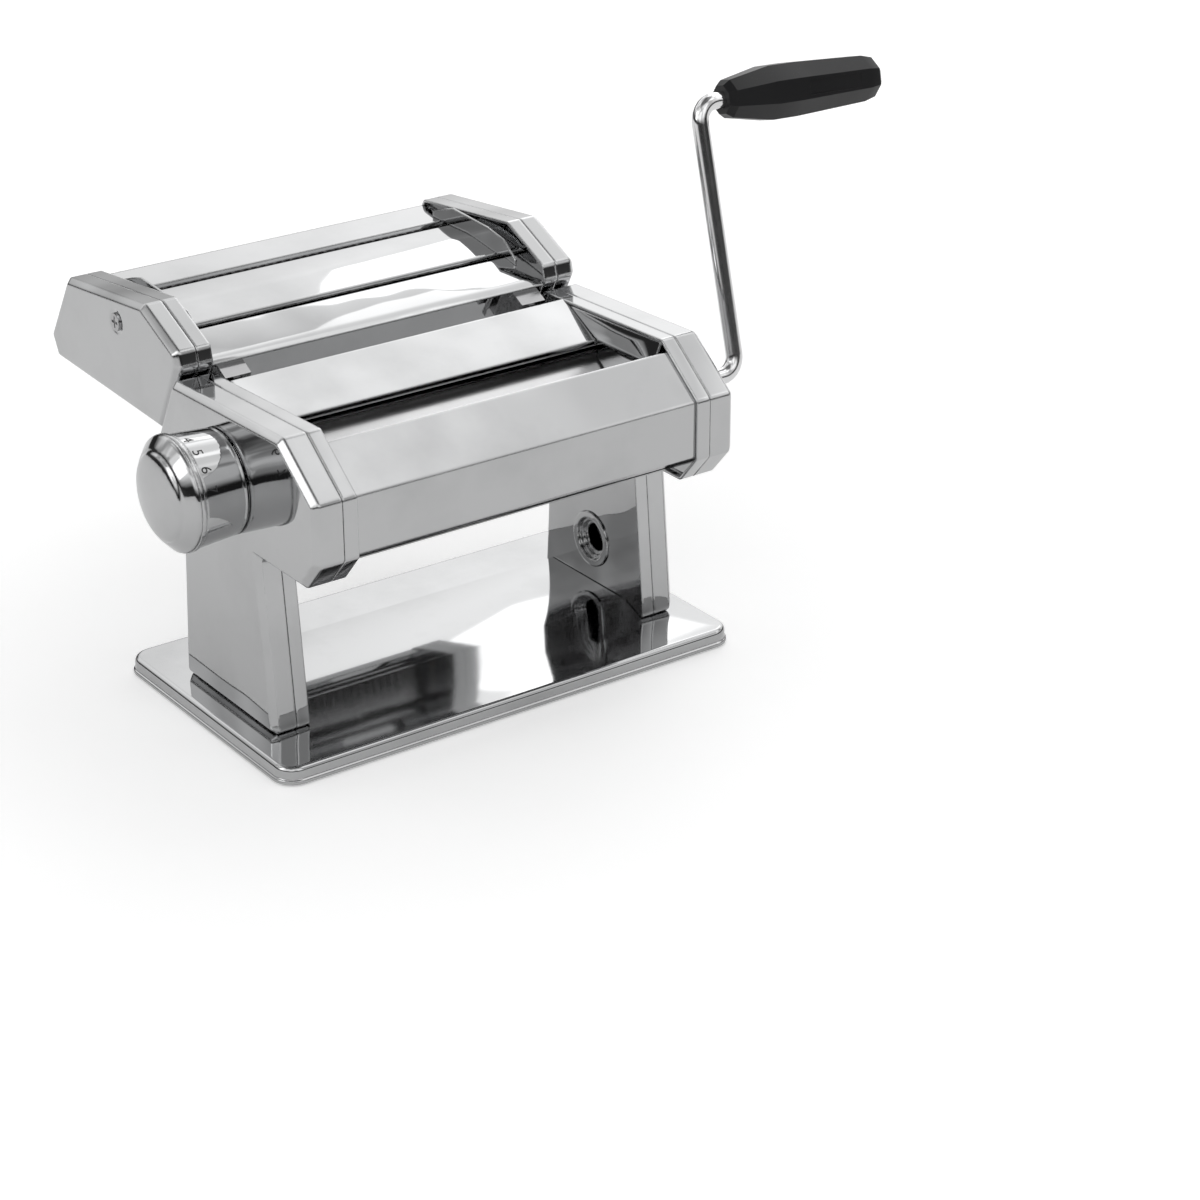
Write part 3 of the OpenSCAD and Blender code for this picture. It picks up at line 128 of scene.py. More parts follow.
# --------------------------------------------------------------------------
# Node helpers
# --------------------------------------------------------------------------
class Tree:
    """A thin wrapper round a node tree that keeps the wiring short."""

    def __init__(self, tree: bpy.types.NodeTree) -> None:
        """Args:
            tree: the node tree to build in.
        """
        self.tree = tree
        self.column = 0

    def add(self, kind: str, **settings: object) -> bpy.types.Node:
        """Adds a node and sets its properties.

        Args:
            kind: the node's type name.
            **settings: properties of the node, by name.

        Returns:
            The new node.
        """
        node = self.tree.nodes.new(kind)
        node.location = (self.column * NODE_STEP, 0.0)
        self.column += 1
        for name, value in settings.items():
            setattr(node, name, value)
        return node

    def link(self, out: bpy.types.NodeSocket, into: bpy.types.NodeSocket) -> None:
        """Joins an output to an input.

        Args:
            out: the socket that gives the value.
            into: the socket that takes it.
        """
        self.tree.links.new(out, into)

    def math(self, operation: str, a: object, b: object,
             clamp: bool = False) -> bpy.types.NodeSocket:
        """Adds a Math node.

        Args:
            operation: name of the Math operation.
            a: a socket or a number.
            b: a socket or a number.
            clamp: whether the result is held between 0 and 1.

        Returns:
            The result's socket.
        """
        node = self.add("ShaderNodeMath", operation=operation, use_clamp=clamp)
        for index, value in enumerate((a, b)):
            if isinstance(value, bpy.types.NodeSocket):
                self.link(value, node.inputs[index])
            else:
                node.inputs[index].default_value = float(value)
        return node.outputs[0]

    def noise(self, where: bpy.types.NodeSocket, scale: float, detail: float,
              roughness: float) -> bpy.types.NodeSocket:
        """Adds a noise texture.

        Args:
            where: the coordinates that the noise reads.
            scale: number of features in each metre.
            detail: number of finer layers.
            roughness: strength of those layers.

        Returns:
            The socket of its grey value.
        """
        node = self.add("ShaderNodeTexNoise")
        self.link(where, node.inputs["Vector"])
        node.inputs["Scale"].default_value = scale
        node.inputs["Detail"].default_value = detail
        node.inputs["Roughness"].default_value = roughness
        return node.outputs["Fac"]

    def spread(self, value: bpy.types.NodeSocket, low: float, high: float, to_low: float = 0.0,
               to_high: float = 1.0) -> bpy.types.NodeSocket:
        """Maps a value from one range to another, held at both ends.

        Args:
            value: the socket that is mapped.
            low: value that gives to_low.
            high: value that gives to_high.
            to_low: result at low.
            to_high: result at high.

        Returns:
            The result's socket.
        """
        node = self.add("ShaderNodeMapRange", clamp=True)
        self.link(value, node.inputs["Value"])
        ends = {"From Min": low, "From Max": high, "To Min": to_low, "To Max": to_high}
        for name, number in ends.items():
            node.inputs[name].default_value = number
        return node.outputs["Result"]

    def mix(self, factor: object, a: object, b: object) -> bpy.types.NodeSocket:
        """Mixes two colours.

        Args:
            factor: a socket or a number, 0 for a and 1 for b.
            a: a socket or a colour.
            b: a socket or a colour.

        Returns:
            The mixed colour's socket.
        """
        node = self.add("ShaderNodeMix", data_type="RGBA")
        for index, value in ((0, factor), (6, a), (7, b)):
            if isinstance(value, bpy.types.NodeSocket):
                self.link(value, node.inputs[index])
            elif index == 0:
                node.inputs[index].default_value = float(value)
            else:
                node.inputs[index].default_value = (*value, 1.0)
        return node.outputs[2]

    def place(self) -> bpy.types.NodeSocket:
        """Adds the object's own coordinates.

        Returns:
            Their socket.
        """
        return self.add("ShaderNodeTexCoord").outputs["Object"]

    def scaled_place(self, factor: bpy.types.NodeSocket) -> bpy.types.NodeSocket:
        """Adds the object's own coordinates, times a factor.

        Args:
            factor: the socket that gives the factor.

        Returns:
            Their socket.
        """
        sized = self.add("ShaderNodeVectorMath", operation="SCALE")
        self.link(self.place(), sized.inputs[0])
        self.link(factor, sized.inputs["Scale"])
        return sized.outputs["Vector"]


def fresh_tree(owner: bpy.types.Material | bpy.types.World) -> Tree:
    """Empties the node tree of a material or of a world.

    Args:
        owner: the material or the world.

    Returns:
        A wrapper round the empty tree.
    """
    owner.use_nodes = True
    owner.node_tree.nodes.clear()
    return Tree(owner.node_tree)


NewGroup = tuple[bpy.types.NodeTree, Tree, bpy.types.Node, bpy.types.Node]


def new_group(name: str, inputs: dict[str, float], outputs: tuple[str, ...]) -> NewGroup:
    """Makes an empty shader node group with number sockets.

    Args:
        name: name of the group.
        inputs: name and first value of each input.
        outputs: names of the outputs.

    Returns:
        The group, its wrapper, and its input and output nodes.
    """
    group = bpy.data.node_groups.new(name, "ShaderNodeTree")
    for label, value in inputs.items():
        socket = group.interface.new_socket(label, in_out="INPUT", socket_type="NodeSocketFloat")
        socket.default_value = value
    for label in outputs:
        group.interface.new_socket(label, in_out="OUTPUT", socket_type="NodeSocketFloat")
    tree = Tree(group)
    entry = tree.add("NodeGroupInput")
    leave = tree.add("NodeGroupOutput")
    return group, tree, entry, leave


def make_edge_wear() -> bpy.types.NodeTree:
    """Makes the group that finds convex edges and breaks them up with noise.

    Returns:
        A group with inputs Width and Amount and the output Wear, 0 to 1.
    """
    group, tree, entry, leave = new_group("edge_wear", {"Width": 0.0006, "Amount": 1.0}, ("Wear",))
    bevel = tree.add("ShaderNodeBevel", samples=EDGE_SAMPLES)
    tree.link(entry.outputs["Width"], bevel.inputs["Radius"])
    flat = tree.add("ShaderNodeNewGeometry")
    turn = tree.add("ShaderNodeVectorMath", operation="DOT_PRODUCT")
    tree.link(bevel.outputs["Normal"], turn.inputs[0])
    tree.link(flat.outputs["Normal"], turn.inputs[1])
    edge = tree.spread(turn.outputs["Value"], *EDGE_TURN)
    patchy = tree.spread(tree.noise(tree.place(), *EDGE_NOISE), *EDGE_PATCHES)
    broken = tree.math("MULTIPLY", edge, patchy)
    wear = tree.math("MULTIPLY", broken, entry.outputs["Amount"], clamp=True)
    tree.link(wear, leave.inputs["Wear"])
    return group


def make_smudges() -> bpy.types.NodeTree:
    """Makes the group of faint wiping marks and dust that breaks up polished metal.

    Returns:
        A group with the input Scale and the outputs Smudge and Dust, each 0 to 1.
    """
    group, tree, entry, leave = new_group("smudges", {"Scale": 1.0}, ("Smudge", "Dust"))
    sized = tree.scaled_place(entry.outputs["Scale"])
    tree.link(tree.spread(tree.noise(sized, *SMUDGE_NOISE), *SMUDGE_SEEN), leave.inputs["Smudge"])
    specks = tree.spread(tree.noise(sized, *SPECK_NOISE), *SPECK_SEEN)
    up = tree.add("ShaderNodeNewGeometry")
    height = tree.add("ShaderNodeSeparateXYZ")
    tree.link(up.outputs["Normal"], height.inputs["Vector"])
    level = tree.spread(height.outputs["Z"], *FACING_UP)
    tree.link(tree.math("MULTIPLY", specks, level), leave.inputs["Dust"])
    return group


def make_grain() -> bpy.types.NodeTree:
    """Makes the group of fine drawn-out lines left by grinding along X.

    Returns:
        A group with the inputs Along and Across and the output Grain, 0 to 1.
    """
    group, tree, entry, leave = new_group("grain", {"Along": 6.0, "Across": 1600.0}, ("Grain",))
    split = tree.add("ShaderNodeSeparateXYZ")
    tree.link(tree.place(), split.inputs["Vector"])
    joined = tree.add("ShaderNodeCombineXYZ")
    for axis, factor in (("X", "Along"), ("Y", "Across"), ("Z", "Across")):
        drawn = tree.math("MULTIPLY", split.outputs[axis], entry.outputs[factor])
        tree.link(drawn, joined.inputs[axis])
    tree.link(tree.noise(joined.outputs["Vector"], *GRAIN_NOISE), leave.inputs["Grain"])
    return group


def make_warp() -> bpy.types.NodeTree:
    """Makes the group of slow waves that pressing leaves in plated sheet.

    Returns:
        A group with the input Tight and the output Wave.
    """
    group, tree, entry, leave = new_group("warp", {"Tight": 1.0}, ("Wave",))
    slow = tree.noise(tree.scaled_place(entry.outputs["Tight"]), *WARP_NOISE)
    tree.link(slow, leave.inputs["Wave"])
    return group


def make_shade_by_angle() -> bpy.types.NodeTree:
    """Makes the geometry group that shades faces as one unless they meet at a sharp edge.

    Returns:
        The geometry node group, for a modifier.
    """
    group = bpy.data.node_groups.new("shade_by_angle", "GeometryNodeTree")
    group.is_modifier = True
    for way in ("INPUT", "OUTPUT"):
        group.interface.new_socket("Geometry", in_out=way, socket_type="NodeSocketGeometry")
    tree = Tree(group)
    entry = tree.add("NodeGroupInput")
    leave = tree.add("NodeGroupOutput")
    faces = tree.add("GeometryNodeSetShadeSmooth", domain="FACE")
    faces.inputs["Shade Smooth"].default_value = True
    edges = tree.add("GeometryNodeSetShadeSmooth", domain="EDGE")
    angle = tree.add("GeometryNodeInputMeshEdgeAngle")
    gentle = tree.add("FunctionNodeCompare", data_type="FLOAT", operation="LESS_THAN")
    tree.link(angle.outputs["Unsigned Angle"], gentle.inputs["A"])
    gentle.inputs["B"].default_value = math.radians(SHARP_DEG)
    tree.link(gentle.outputs["Result"], edges.inputs["Shade Smooth"])
    tree.link(entry.outputs["Geometry"], faces.inputs["Geometry"])
    tree.link(faces.outputs["Geometry"], edges.inputs["Geometry"])
    tree.link(edges.outputs["Geometry"], leave.inputs["Geometry"])
    return group


# --------------------------------------------------------------------------
# Finishes
# --------------------------------------------------------------------------
class Kind(Enum):
    """The sorts of surface that the machine has."""

    CHROME = "chrome"
    SATIN = "satin"
    STEEL = "steel"
    ROLLER = "roller"
    ROD = "rod"
    CUTTER = "cutter"
    GEAR = "gear"
    BRONZE = "bronze"
    RUBBER = "rubber"
    PLASTIC = "plastic"
    WIRE = "wire"
    INK = "ink"


@dataclass(frozen=True)
class Finish:
    """What one surface looks like.

    Attributes:
        colour: base colour.
        metallic: 1 for metal and 0 for anything else.
        rough: lowest and highest roughness.
        grain: height of ground lines in metres, 0 for none.
        pebble: height of a moulded texture in metres, 0 for none.
        wear: how strongly the edges are worn.
        worn: colour of a worn edge.
        dust: how strongly dust shows.
        coat: weight of a clear coat.
        warp: how much the pressed sheet waves, 0 for none.
        specular: level of the plain reflection of a surface that isn't metal.
        cloud: share by which wiping marks darken the colour.
        soften: radius over which drawn edges catch the light, in metres, 0 for none.
    """

    colour: Colour
    metallic: float = 1.0
    rough: tuple[float, float] = (0.03, 0.08)
    grain: float = 0.0
    pebble: float = 0.0
    wear: float = 0.0
    worn: Colour = (0.8, 0.8, 0.8)
    dust: float = 0.0
    coat: float = 0.0
    warp: float = 0.0
    specular: float = 0.5
    cloud: float = 0.14
    soften: float = 0.0


FINISHES: dict[Kind, Finish] = {
    Kind.CHROME: Finish((0.50, 0.503, 0.507), rough=(0.03, 0.07), wear=0.25,
                        worn=(0.62, 0.62, 0.62), dust=0.02, warp=1.0, soften=0.0012),
    Kind.SATIN: Finish((0.50, 0.503, 0.507), rough=(0.05, 0.09), wear=0.25,
                       worn=(0.62, 0.62, 0.62), dust=0.03),
    Kind.STEEL: Finish((0.42, 0.42, 0.425), rough=(0.16, 0.3), grain=2e-6, wear=0.3, dust=0.04),
    Kind.ROLLER: Finish((0.72, 0.72, 0.725), rough=(0.34, 0.42), grain=4e-7, dust=0.03),
    Kind.ROD: Finish((0.74, 0.74, 0.745), rough=(0.12, 0.2), wear=0.25, dust=0.02),
    Kind.CUTTER: Finish((0.38, 0.38, 0.375), rough=(0.18, 0.3), grain=2e-6, wear=0.6, dust=0.05),
    Kind.GEAR: Finish((0.24, 0.24, 0.25), rough=(0.25, 0.42), wear=0.8, worn=(0.55, 0.55, 0.55)),
    Kind.BRONZE: Finish((0.62, 0.42, 0.24), rough=(0.3, 0.45), grain=2e-6),
    Kind.RUBBER: Finish((0.02, 0.02, 0.02), 0.0, (0.75, 0.9), pebble=2e-5, dust=0.2),
    Kind.PLASTIC: Finish((0.008, 0.008, 0.009), 0.0, (0.3, 0.42), pebble=4e-6, wear=0.15,
                         worn=(0.03, 0.03, 0.03), dust=0.03, coat=0.05, specular=0.28),
    Kind.WIRE: Finish((0.45, 0.45, 0.47), rough=(0.2, 0.32)),
    Kind.INK: Finish((0.03, 0.03, 0.032), 0.0, (0.45, 0.55)),
}


class FinishShop:
    """Makes each finish once and hands it out."""

    def __init__(self) -> None:
        """Builds the shared groups."""
        self.edge_wear = make_edge_wear()
        self.smudges = make_smudges()
        self.grain = make_grain()
        self.warp = make_warp()
        self.shade_by_angle = make_shade_by_angle()
        self.made: dict[Kind, bpy.types.Material] = {}

    def get(self, kind: Kind) -> bpy.types.Material:
        """Gives the material for a kind of surface.

        Args:
            kind: the sort of surface.

        Returns:
            Its material.
        """
        if kind not in self.made:
            self.made[kind] = self._make(kind, FINISHES[kind])
        return self.made[kind]

    def _group(self, tree: Tree, group: bpy.types.NodeTree, **values: float) -> bpy.types.Node:
        """Adds a group node and sets its inputs.

        Args:
            tree: the tree it goes into.
            group: the group.
            **values: first values of its inputs.

        Returns:
            The group node.
        """
        node = tree.add("ShaderNodeGroup", node_tree=group)
        for name, value in values.items():
            node.inputs[name].default_value = value
        return node

    def _make(self, kind: Kind, finish: Finish) -> bpy.types.Material:
        """Builds one material.

        Args:
            kind: the sort of surface, for the name.
            finish: its looks.

        Returns:
            The new material.
        """
        material = bpy.data.materials.new("finish_" + kind.value)
        tree = fresh_tree(material)
        smudges = self._group(tree, self.smudges, Scale=1.0)
        wear = self._group(tree, self.edge_wear, Width=WEAR_WIDTH, Amount=finish.wear)
        shader = tree.add("ShaderNodeBsdfPrincipled")
        shader.inputs["Metallic"].default_value = finish.metallic
        shader.inputs["Coat Weight"].default_value = finish.coat
        shader.inputs["Specular IOR Level"].default_value = finish.specular
        shaded = tuple(channel * (1.0 - finish.cloud) for channel in finish.colour)
        clouded = tree.mix(smudges.outputs["Smudge"], finish.colour, shaded)
        colour = tree.mix(wear.outputs["Wear"], clouded, finish.worn)
        dusty = tree.math("MULTIPLY", smudges.outputs["Dust"], finish.dust)
        tree.link(tree.mix(dusty, colour, DUST_COLOUR), shader.inputs["Base Color"])
        rough = tree.spread(smudges.outputs["Smudge"], 0.0, 1.0, *finish.rough)
        dulled = tree.math("ADD", rough, tree.math("MULTIPLY", dusty, DUST_ROUGHNESS))
        tree.link(dulled, shader.inputs["Roughness"])
        height = None
        if finish.warp:
            height = self._group(tree, self.warp).outputs["Wave"]
        elif finish.grain:
            height = self._group(tree, self.grain).outputs["Grain"]
        elif finish.pebble:
            height = tree.noise(tree.place(), *PEBBLE_NOISE)
        if height is not None:
            bump = tree.add("ShaderNodeBump")
            bump.inputs["Strength"].default_value = 1.0
            depth = finish.grain or finish.pebble or WARP_HEIGHT * finish.warp
            bump.inputs["Distance"].default_value = depth
            tree.link(height, bump.inputs["Height"])
            tree.link(bump.outputs["Normal"], shader.inputs["Normal"])
            if finish.soften:
                drawn = tree.add("ShaderNodeBevel", samples=SOFTEN_SAMPLES)
                drawn.inputs["Radius"].default_value = finish.soften
                tree.link(drawn.outputs["Normal"], bump.inputs["Normal"])
        out = tree.add("ShaderNodeOutputMaterial")
        tree.link(shader.outputs["BSDF"], out.inputs["Surface"])
        return material


# --------------------------------------------------------------------------
# Sub-assemblies
# --------------------------------------------------------------------------
@dataclass(frozen=True)
class Dress:
    """How one CAD node is dressed.

    Attributes:
        kind: its surface.
        radius: rounding of its edges in metres, 0 for none.
        segments: number of steps in that rounding.
        angle_deg: smallest angle between two faces that gets rounded.
        clamp: whether a rounding stops where it would meet another.
        weld: points nearer than this are joined first, in metres.
    """

    kind: Kind
    radius: float = 0.0003
    segments: int = 2
    angle_deg: float = 28.0
    clamp: bool = True
    weld: float = 2e-6


class SubAssembly:
    """A named set of CAD nodes with the dress of each."""

    nodes: dict[str, Dress] = {}

    def __init__(self, shop: FinishShop) -> None:
        """Args:
            shop: gives the materials.
        """
        self.shop = shop

    def build(self) -> None:
        """Dresses the nodes, then adds the pieces that have no node."""
        for name, dress in self.nodes.items():
            self.dress(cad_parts[name], dress)
        self.details()
        log.info("%s: %d nodes", type(self).__name__, len(self.nodes))

    def details(self) -> None:
        """Adds pieces. A sub-assembly without any leaves this as it is."""

    def dress(self, obj: bpy.types.Object, dress: Dress) -> None:
        """Gives a CAD node its material and rounds its edges.

        Args:
            obj: the node's object.
            dress: what it gets.
        """
        obj.data.materials.clear()
        obj.data.materials.append(self.shop.get(dress.kind))
        weld = obj.modifiers.new("weld", "WELD")
        weld.merge_threshold = dress.weld
        flat = obj.modifiers.new("flat", "DECIMATE")
        flat.decimate_type = "DISSOLVE"
        flat.angle_limit = math.radians(FLAT_DEG)
        if dress.radius > 0.0:
            bevel = obj.modifiers.new("bevel", "BEVEL")
            bevel.width = dress.radius
            bevel.segments = dress.segments
            bevel.limit_method = "ANGLE"
            bevel.angle_limit = math.radians(dress.angle_deg)
            bevel.use_clamp_overlap = dress.clamp
            bevel.loop_slide = dress.clamp
        shade = obj.modifiers.new("shade", "NODES")
        shade.node_group = self.shop.shade_by_angle
        normals = obj.modifiers.new("normals", "WEIGHTED_NORMAL")
        normals.keep_sharp = True
        normals.weight = FACE_WEIGHT

    def add(self, name: str, mesh: bpy.types.Mesh, kind: Kind, body: str) -> bpy.types.Object:
        """Puts a new mesh into the scene, on a body.

        Args:
            name: the piece's name.
            mesh: its mesh, in the row frame.
            kind: its surface.
            body: the body it rides on.

        Returns:
            The new object.
        """
        obj = bpy.data.objects.new(name, mesh)
        bpy.context.scene.collection.objects.link(obj)
        mesh.materials.append(self.shop.get(kind))
        mesh.shade_smooth()
        mesh.set_sharp_from_angle(angle=math.radians(SMOOTH_DEG))
        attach(obj, body)
        return obj


class Stand(SubAssembly):
    """The base, its feet and the legs."""

    nodes = {
        "base_plate": Dress(Kind.SATIN, 0.0003, 3, 30.0, clamp=False),
        "base_feet": Dress(Kind.RUBBER, 0.0006, 3),
        "leg_screws": Dress(Kind.STEEL, 0.0003),
        "clamp_bush": Dress(Kind.CHROME, 0.0004, 3),
    }


class Body(SubAssembly):
    """The end housings, the sheet covers and what they hold."""

    nodes = {
        "inner_housing_left": Dress(Kind.CHROME, 0.0003, 2, clamp=False),
        "inner_housing_right": Dress(Kind.CHROME, 0.0003, 2, clamp=False),
        "outer_housing_left": Dress(Kind.CHROME, 0.0004, 3, 30.0, clamp=False, weld=6e-5),
        "outer_housing_right": Dress(Kind.CHROME, 0.0004, 3, 30.0, clamp=False, weld=6e-5),
        "bearing_plates": Dress(Kind.STEEL),
        "tie_rods": Dress(Kind.STEEL),
        "tie_nuts": Dress(Kind.STEEL),
        "front_cover": Dress(Kind.CHROME, 0.0008, 4, 20.0),
        "rear_cover": Dress(Kind.CHROME, 0.0006, 4, 20.0),
        "dough_guide_left": Dress(Kind.CHROME, 0.0003),
        "dough_guide_right": Dress(Kind.CHROME, 0.0003),
        "scraper_front": Dress(Kind.STEEL, 0.0002),
        "scraper_rear": Dress(Kind.STEEL, 0.0002),
        "rails": Dress(Kind.STEEL),
    }


class RollerTrain(SubAssembly):
    """The smooth rollers, their gears and bushes."""

    nodes = {
        "fixed_roller": Dress(Kind.ROLLER, 0.0004),
        "thickness_roller": Dress(Kind.ROLLER, 0.0004),
        "fixed_roller_gear": Dress(Kind.GEAR, 0.0002),
        "thickness_roller_gear": Dress(Kind.GEAR, 0.0002),
        "roller_bushes": Dress(Kind.BRONZE, 0.0002),
        "shaft_bushes": Dress(Kind.BRONZE, 0.0002),
        "roller_carriers": Dress(Kind.BRONZE, 0.0002),
        "thickness_shaft": Dress(Kind.STEEL, 0.0003),
        "index_pin": Dress(Kind.STEEL, 0.0002),
    }


class Knob(SubAssembly):
    """The thickness knob with its numerals, and the spring inside it."""

    nodes = {
        "knob_drum": Dress(Kind.CHROME, 0.0003, 3),
        "knob_cap": Dress(Kind.CHROME, 0.0004, 3),
        "knob_spring": Dress(Kind.WIRE, 0.0),
        "knob_retainer": Dress(Kind.STEEL, 0.0002),
    }
    axis = KnobAxis()
    settings: int = 7
    top_setting: int = 4
    top_deg: float = 100.0
    step_deg: float = 20.0
    numeral_high: float = 0.0042
    capital_share: float = 0.7
    numeral_foot_x: float = -0.1138
    cone_from: tuple[float, float] = (-0.0990, 0.0212)
    cone_to: tuple[float, float] = (-0.1149, 0.0224)
    relief: float = 0.00005
    spring_turns: int = 4
    spring_steps: int = 16
    spring_sides: int = 8
    spring_wire: float = 0.0011
    pull: float = 0.004

    def details(self) -> None:
        """Adds the plain numerals of the settings round the drum, and the spring."""
        for number in range(1, self.settings + 1):
            turn = math.radians((number - self.top_setting) * self.step_deg + self.top_deg)
            mesh = self.glyph(str(number))
            self.wrap(mesh, turn)
            self.add(f"knob_numeral_{number}", mesh, Kind.INK, "knob")
        low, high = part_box("knob_spring")
        coil = self.add("knob_coil", self.coil(low, high), Kind.WIRE, "setting_shaft")
        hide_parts("knob_spring")
        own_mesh(coil)

    def coil(self, low: Vector, high: Vector) -> bpy.types.Mesh:
        """Winds the knob's spring.

        Args:
            low: lowest corner of the room it fills.
            high: highest corner of that room.

        Returns:
            Its mesh.
        """
        half = self.spring_wire / 2
        radius = (high.z - low.z) / 2 - half
        rings, sides = self.spring_turns * self.spring_steps, self.spring_sides
        points, faces = [], []
        for ring in range(rings + 1):
            turn = ring * math.tau / self.spring_steps
            middle = high.x - half - (high.x - low.x - 2 * half) * ring / rings
            for k in range(sides):
                side = k * math.tau / sides
                reach = radius + half * math.cos(side)
                points.append((middle - half * math.sin(side), *self.round_axis(reach, turn)))
        for ring in range(rings):
            for k in range(sides):
                here, beside = ring * sides + k, ring * sides + (k + 1) % sides
                faces.append((beside + sides, here + sides, here, beside))
        faces.append(tuple(reversed(range(sides))))
        faces.append(tuple(range(rings * sides, (rings + 1) * sides)))
        mesh = bpy.data.meshes.new("knob_coil")
        mesh.from_pydata(points, [], faces)
        return mesh

    def glyph(self, text: str) -> bpy.types.Mesh:
        """Makes a flat numeral with a little thickness, centred, with its foot at zero.

        Args:
            text: the numeral.

        Returns:
            Its mesh, with the thickness along Z.
        """
        curve = bpy.data.curves.new("numeral_" + text, "FONT")
        curve.body = text
        curve.size = self.numeral_high / self.capital_share
        curve.align_x = "CENTER"
        curve.extrude = self.relief
        holder = bpy.data.objects.new("numeral_holder", curve)
        mesh = bpy.data.meshes.new_from_object(holder)
        bpy.data.objects.remove(holder)
        return mesh

    def wrap(self, mesh: bpy.types.Mesh, turn: float) -> None:
        """Bends a numeral round the drum's cone.

        Args:
            mesh: the flat numeral, whose height runs towards the housing.
            turn: angle of its middle round the knob's axis, from +Y towards +Z.
        """
        (x_from, r_from), (x_to, r_to) = self.cone_from, self.cone_to
        slope = (r_to - r_from) / (x_to - x_from)
        for vertex in mesh.vertices:
            across, up, proud = vertex.co
            x = self.numeral_foot_x + up
            radius = r_from + slope * (x - x_from)
            vertex.co = (x, *self.round_axis(radius + proud, turn + across / radius))

    def round_axis(self, radius: float, angle: float) -> tuple[float, float]:
        """Finds a point round the knob's axis.

        Args:
            radius: how far it is from the axis.
            angle: where it is, from +Y towards +Z.

        Returns:
            Its Y and its Z.
        """
        return self.axis.y + radius * math.cos(angle), self.axis.z + radius * math.sin(angle)


class Crank(SubAssembly):
    """The crank rod and its grip."""

    nodes = {
        "crank_rod": Dress(Kind.ROD, 0.0),
        "crank_grip": Dress(Kind.PLASTIC, 0.0012, 4, 12.0),
        "grip_clip": Dress(Kind.STEEL, 0.0001),
    }


class Cutter(SubAssembly):
    """The lift-off cutter unit."""

    nodes = {
        "cutter_side_left": Dress(Kind.CHROME, 0.0005, 3),
        "cutter_side_right": Dress(Kind.CHROME, 0.0005, 3),
        "cutter_cap_left": Dress(Kind.CHROME, 0.0004, 3, 30.0, clamp=False),
        "cutter_cap_right": Dress(Kind.CHROME, 0.0004, 3, 30.0, clamp=False),
        "cutter_plates": Dress(Kind.STEEL),
        "cutter_deck_rear": Dress(Kind.CHROME, 0.0008, 4, 20.0),
        "cutter_deck_middle": Dress(Kind.CHROME, 0.0008, 4, 20.0),
        "cutter_deck_front": Dress(Kind.CHROME, 0.0008, 4, 20.0),
        "cutter_guides": Dress(Kind.CHROME, 0.0002),
        "cutter_tie_rods": Dress(Kind.STEEL),
        "cutter_bushes": Dress(Kind.BRONZE, 0.0002),
        "cutter_screws": Dress(Kind.STEEL, 0.0002),
        "rail_shoes": Dress(Kind.STEEL, 0.0),
        "combs": Dress(Kind.STEEL, 0.0),
        "wide_roll_driven": Dress(Kind.CUTTER, 0.0),
        "wide_roll_mate": Dress(Kind.CUTTER, 0.0),
        "narrow_roll_driven": Dress(Kind.CUTTER, 0.0),
        "narrow_roll_mate": Dress(Kind.CUTTER, 0.0),
        "wide_gear_driven": Dress(Kind.GEAR, 0.0002),
        "wide_gear_mate": Dress(Kind.GEAR, 0.0002),
        "narrow_gear_driven": Dress(Kind.GEAR, 0.0002),
        "narrow_gear_mate": Dress(Kind.GEAR, 0.0002),
    }


# --------------------------------------------------------------------------
# Studio
# --------------------------------------------------------------------------
@dataclass(frozen=True)
class Softbox:
    """One soft area light.

    Attributes:
        name: its name.
        place: where it hangs.
        aim: the point it faces.
        size: its width and height.
        watts: its power.
    """

    name: str
    place: Point
    aim: Point
    size: tuple[float, float]
    watts: float


SOFTBOXES = (
    Softbox("key_softbox", (0.75, 0.35, 1.3), (0.0, 0.0, 0.1), (0.9, 0.6), 1.35),
    Softbox("front_softbox", (0.85, -0.42, 1.35), (0.0, 0.0, 0.1), (1.0, 0.7), 1.0),
    Softbox("deck_softbox", (1.25, 1.12, 1.19), (0.0, 0.05, 0.14), (0.85, 0.6), 1.5),
    Softbox("left_softbox", (-1.2, 0.1, 0.9), (0.0, 0.0, 0.1), (0.5, 0.8), 2.0),
)

# Greys of the surround from straight down, 0, to straight up, 1.
SURROUND_GREYS = (
    (0.0, 0.85), (0.485, 0.85), (0.50, 0.05), (0.59, 0.02), (0.64, 0.45),
    (0.70, 0.95), (0.86, 1.0), (0.93, 0.75), (0.965, 0.25), (1.0, 0.2),
)


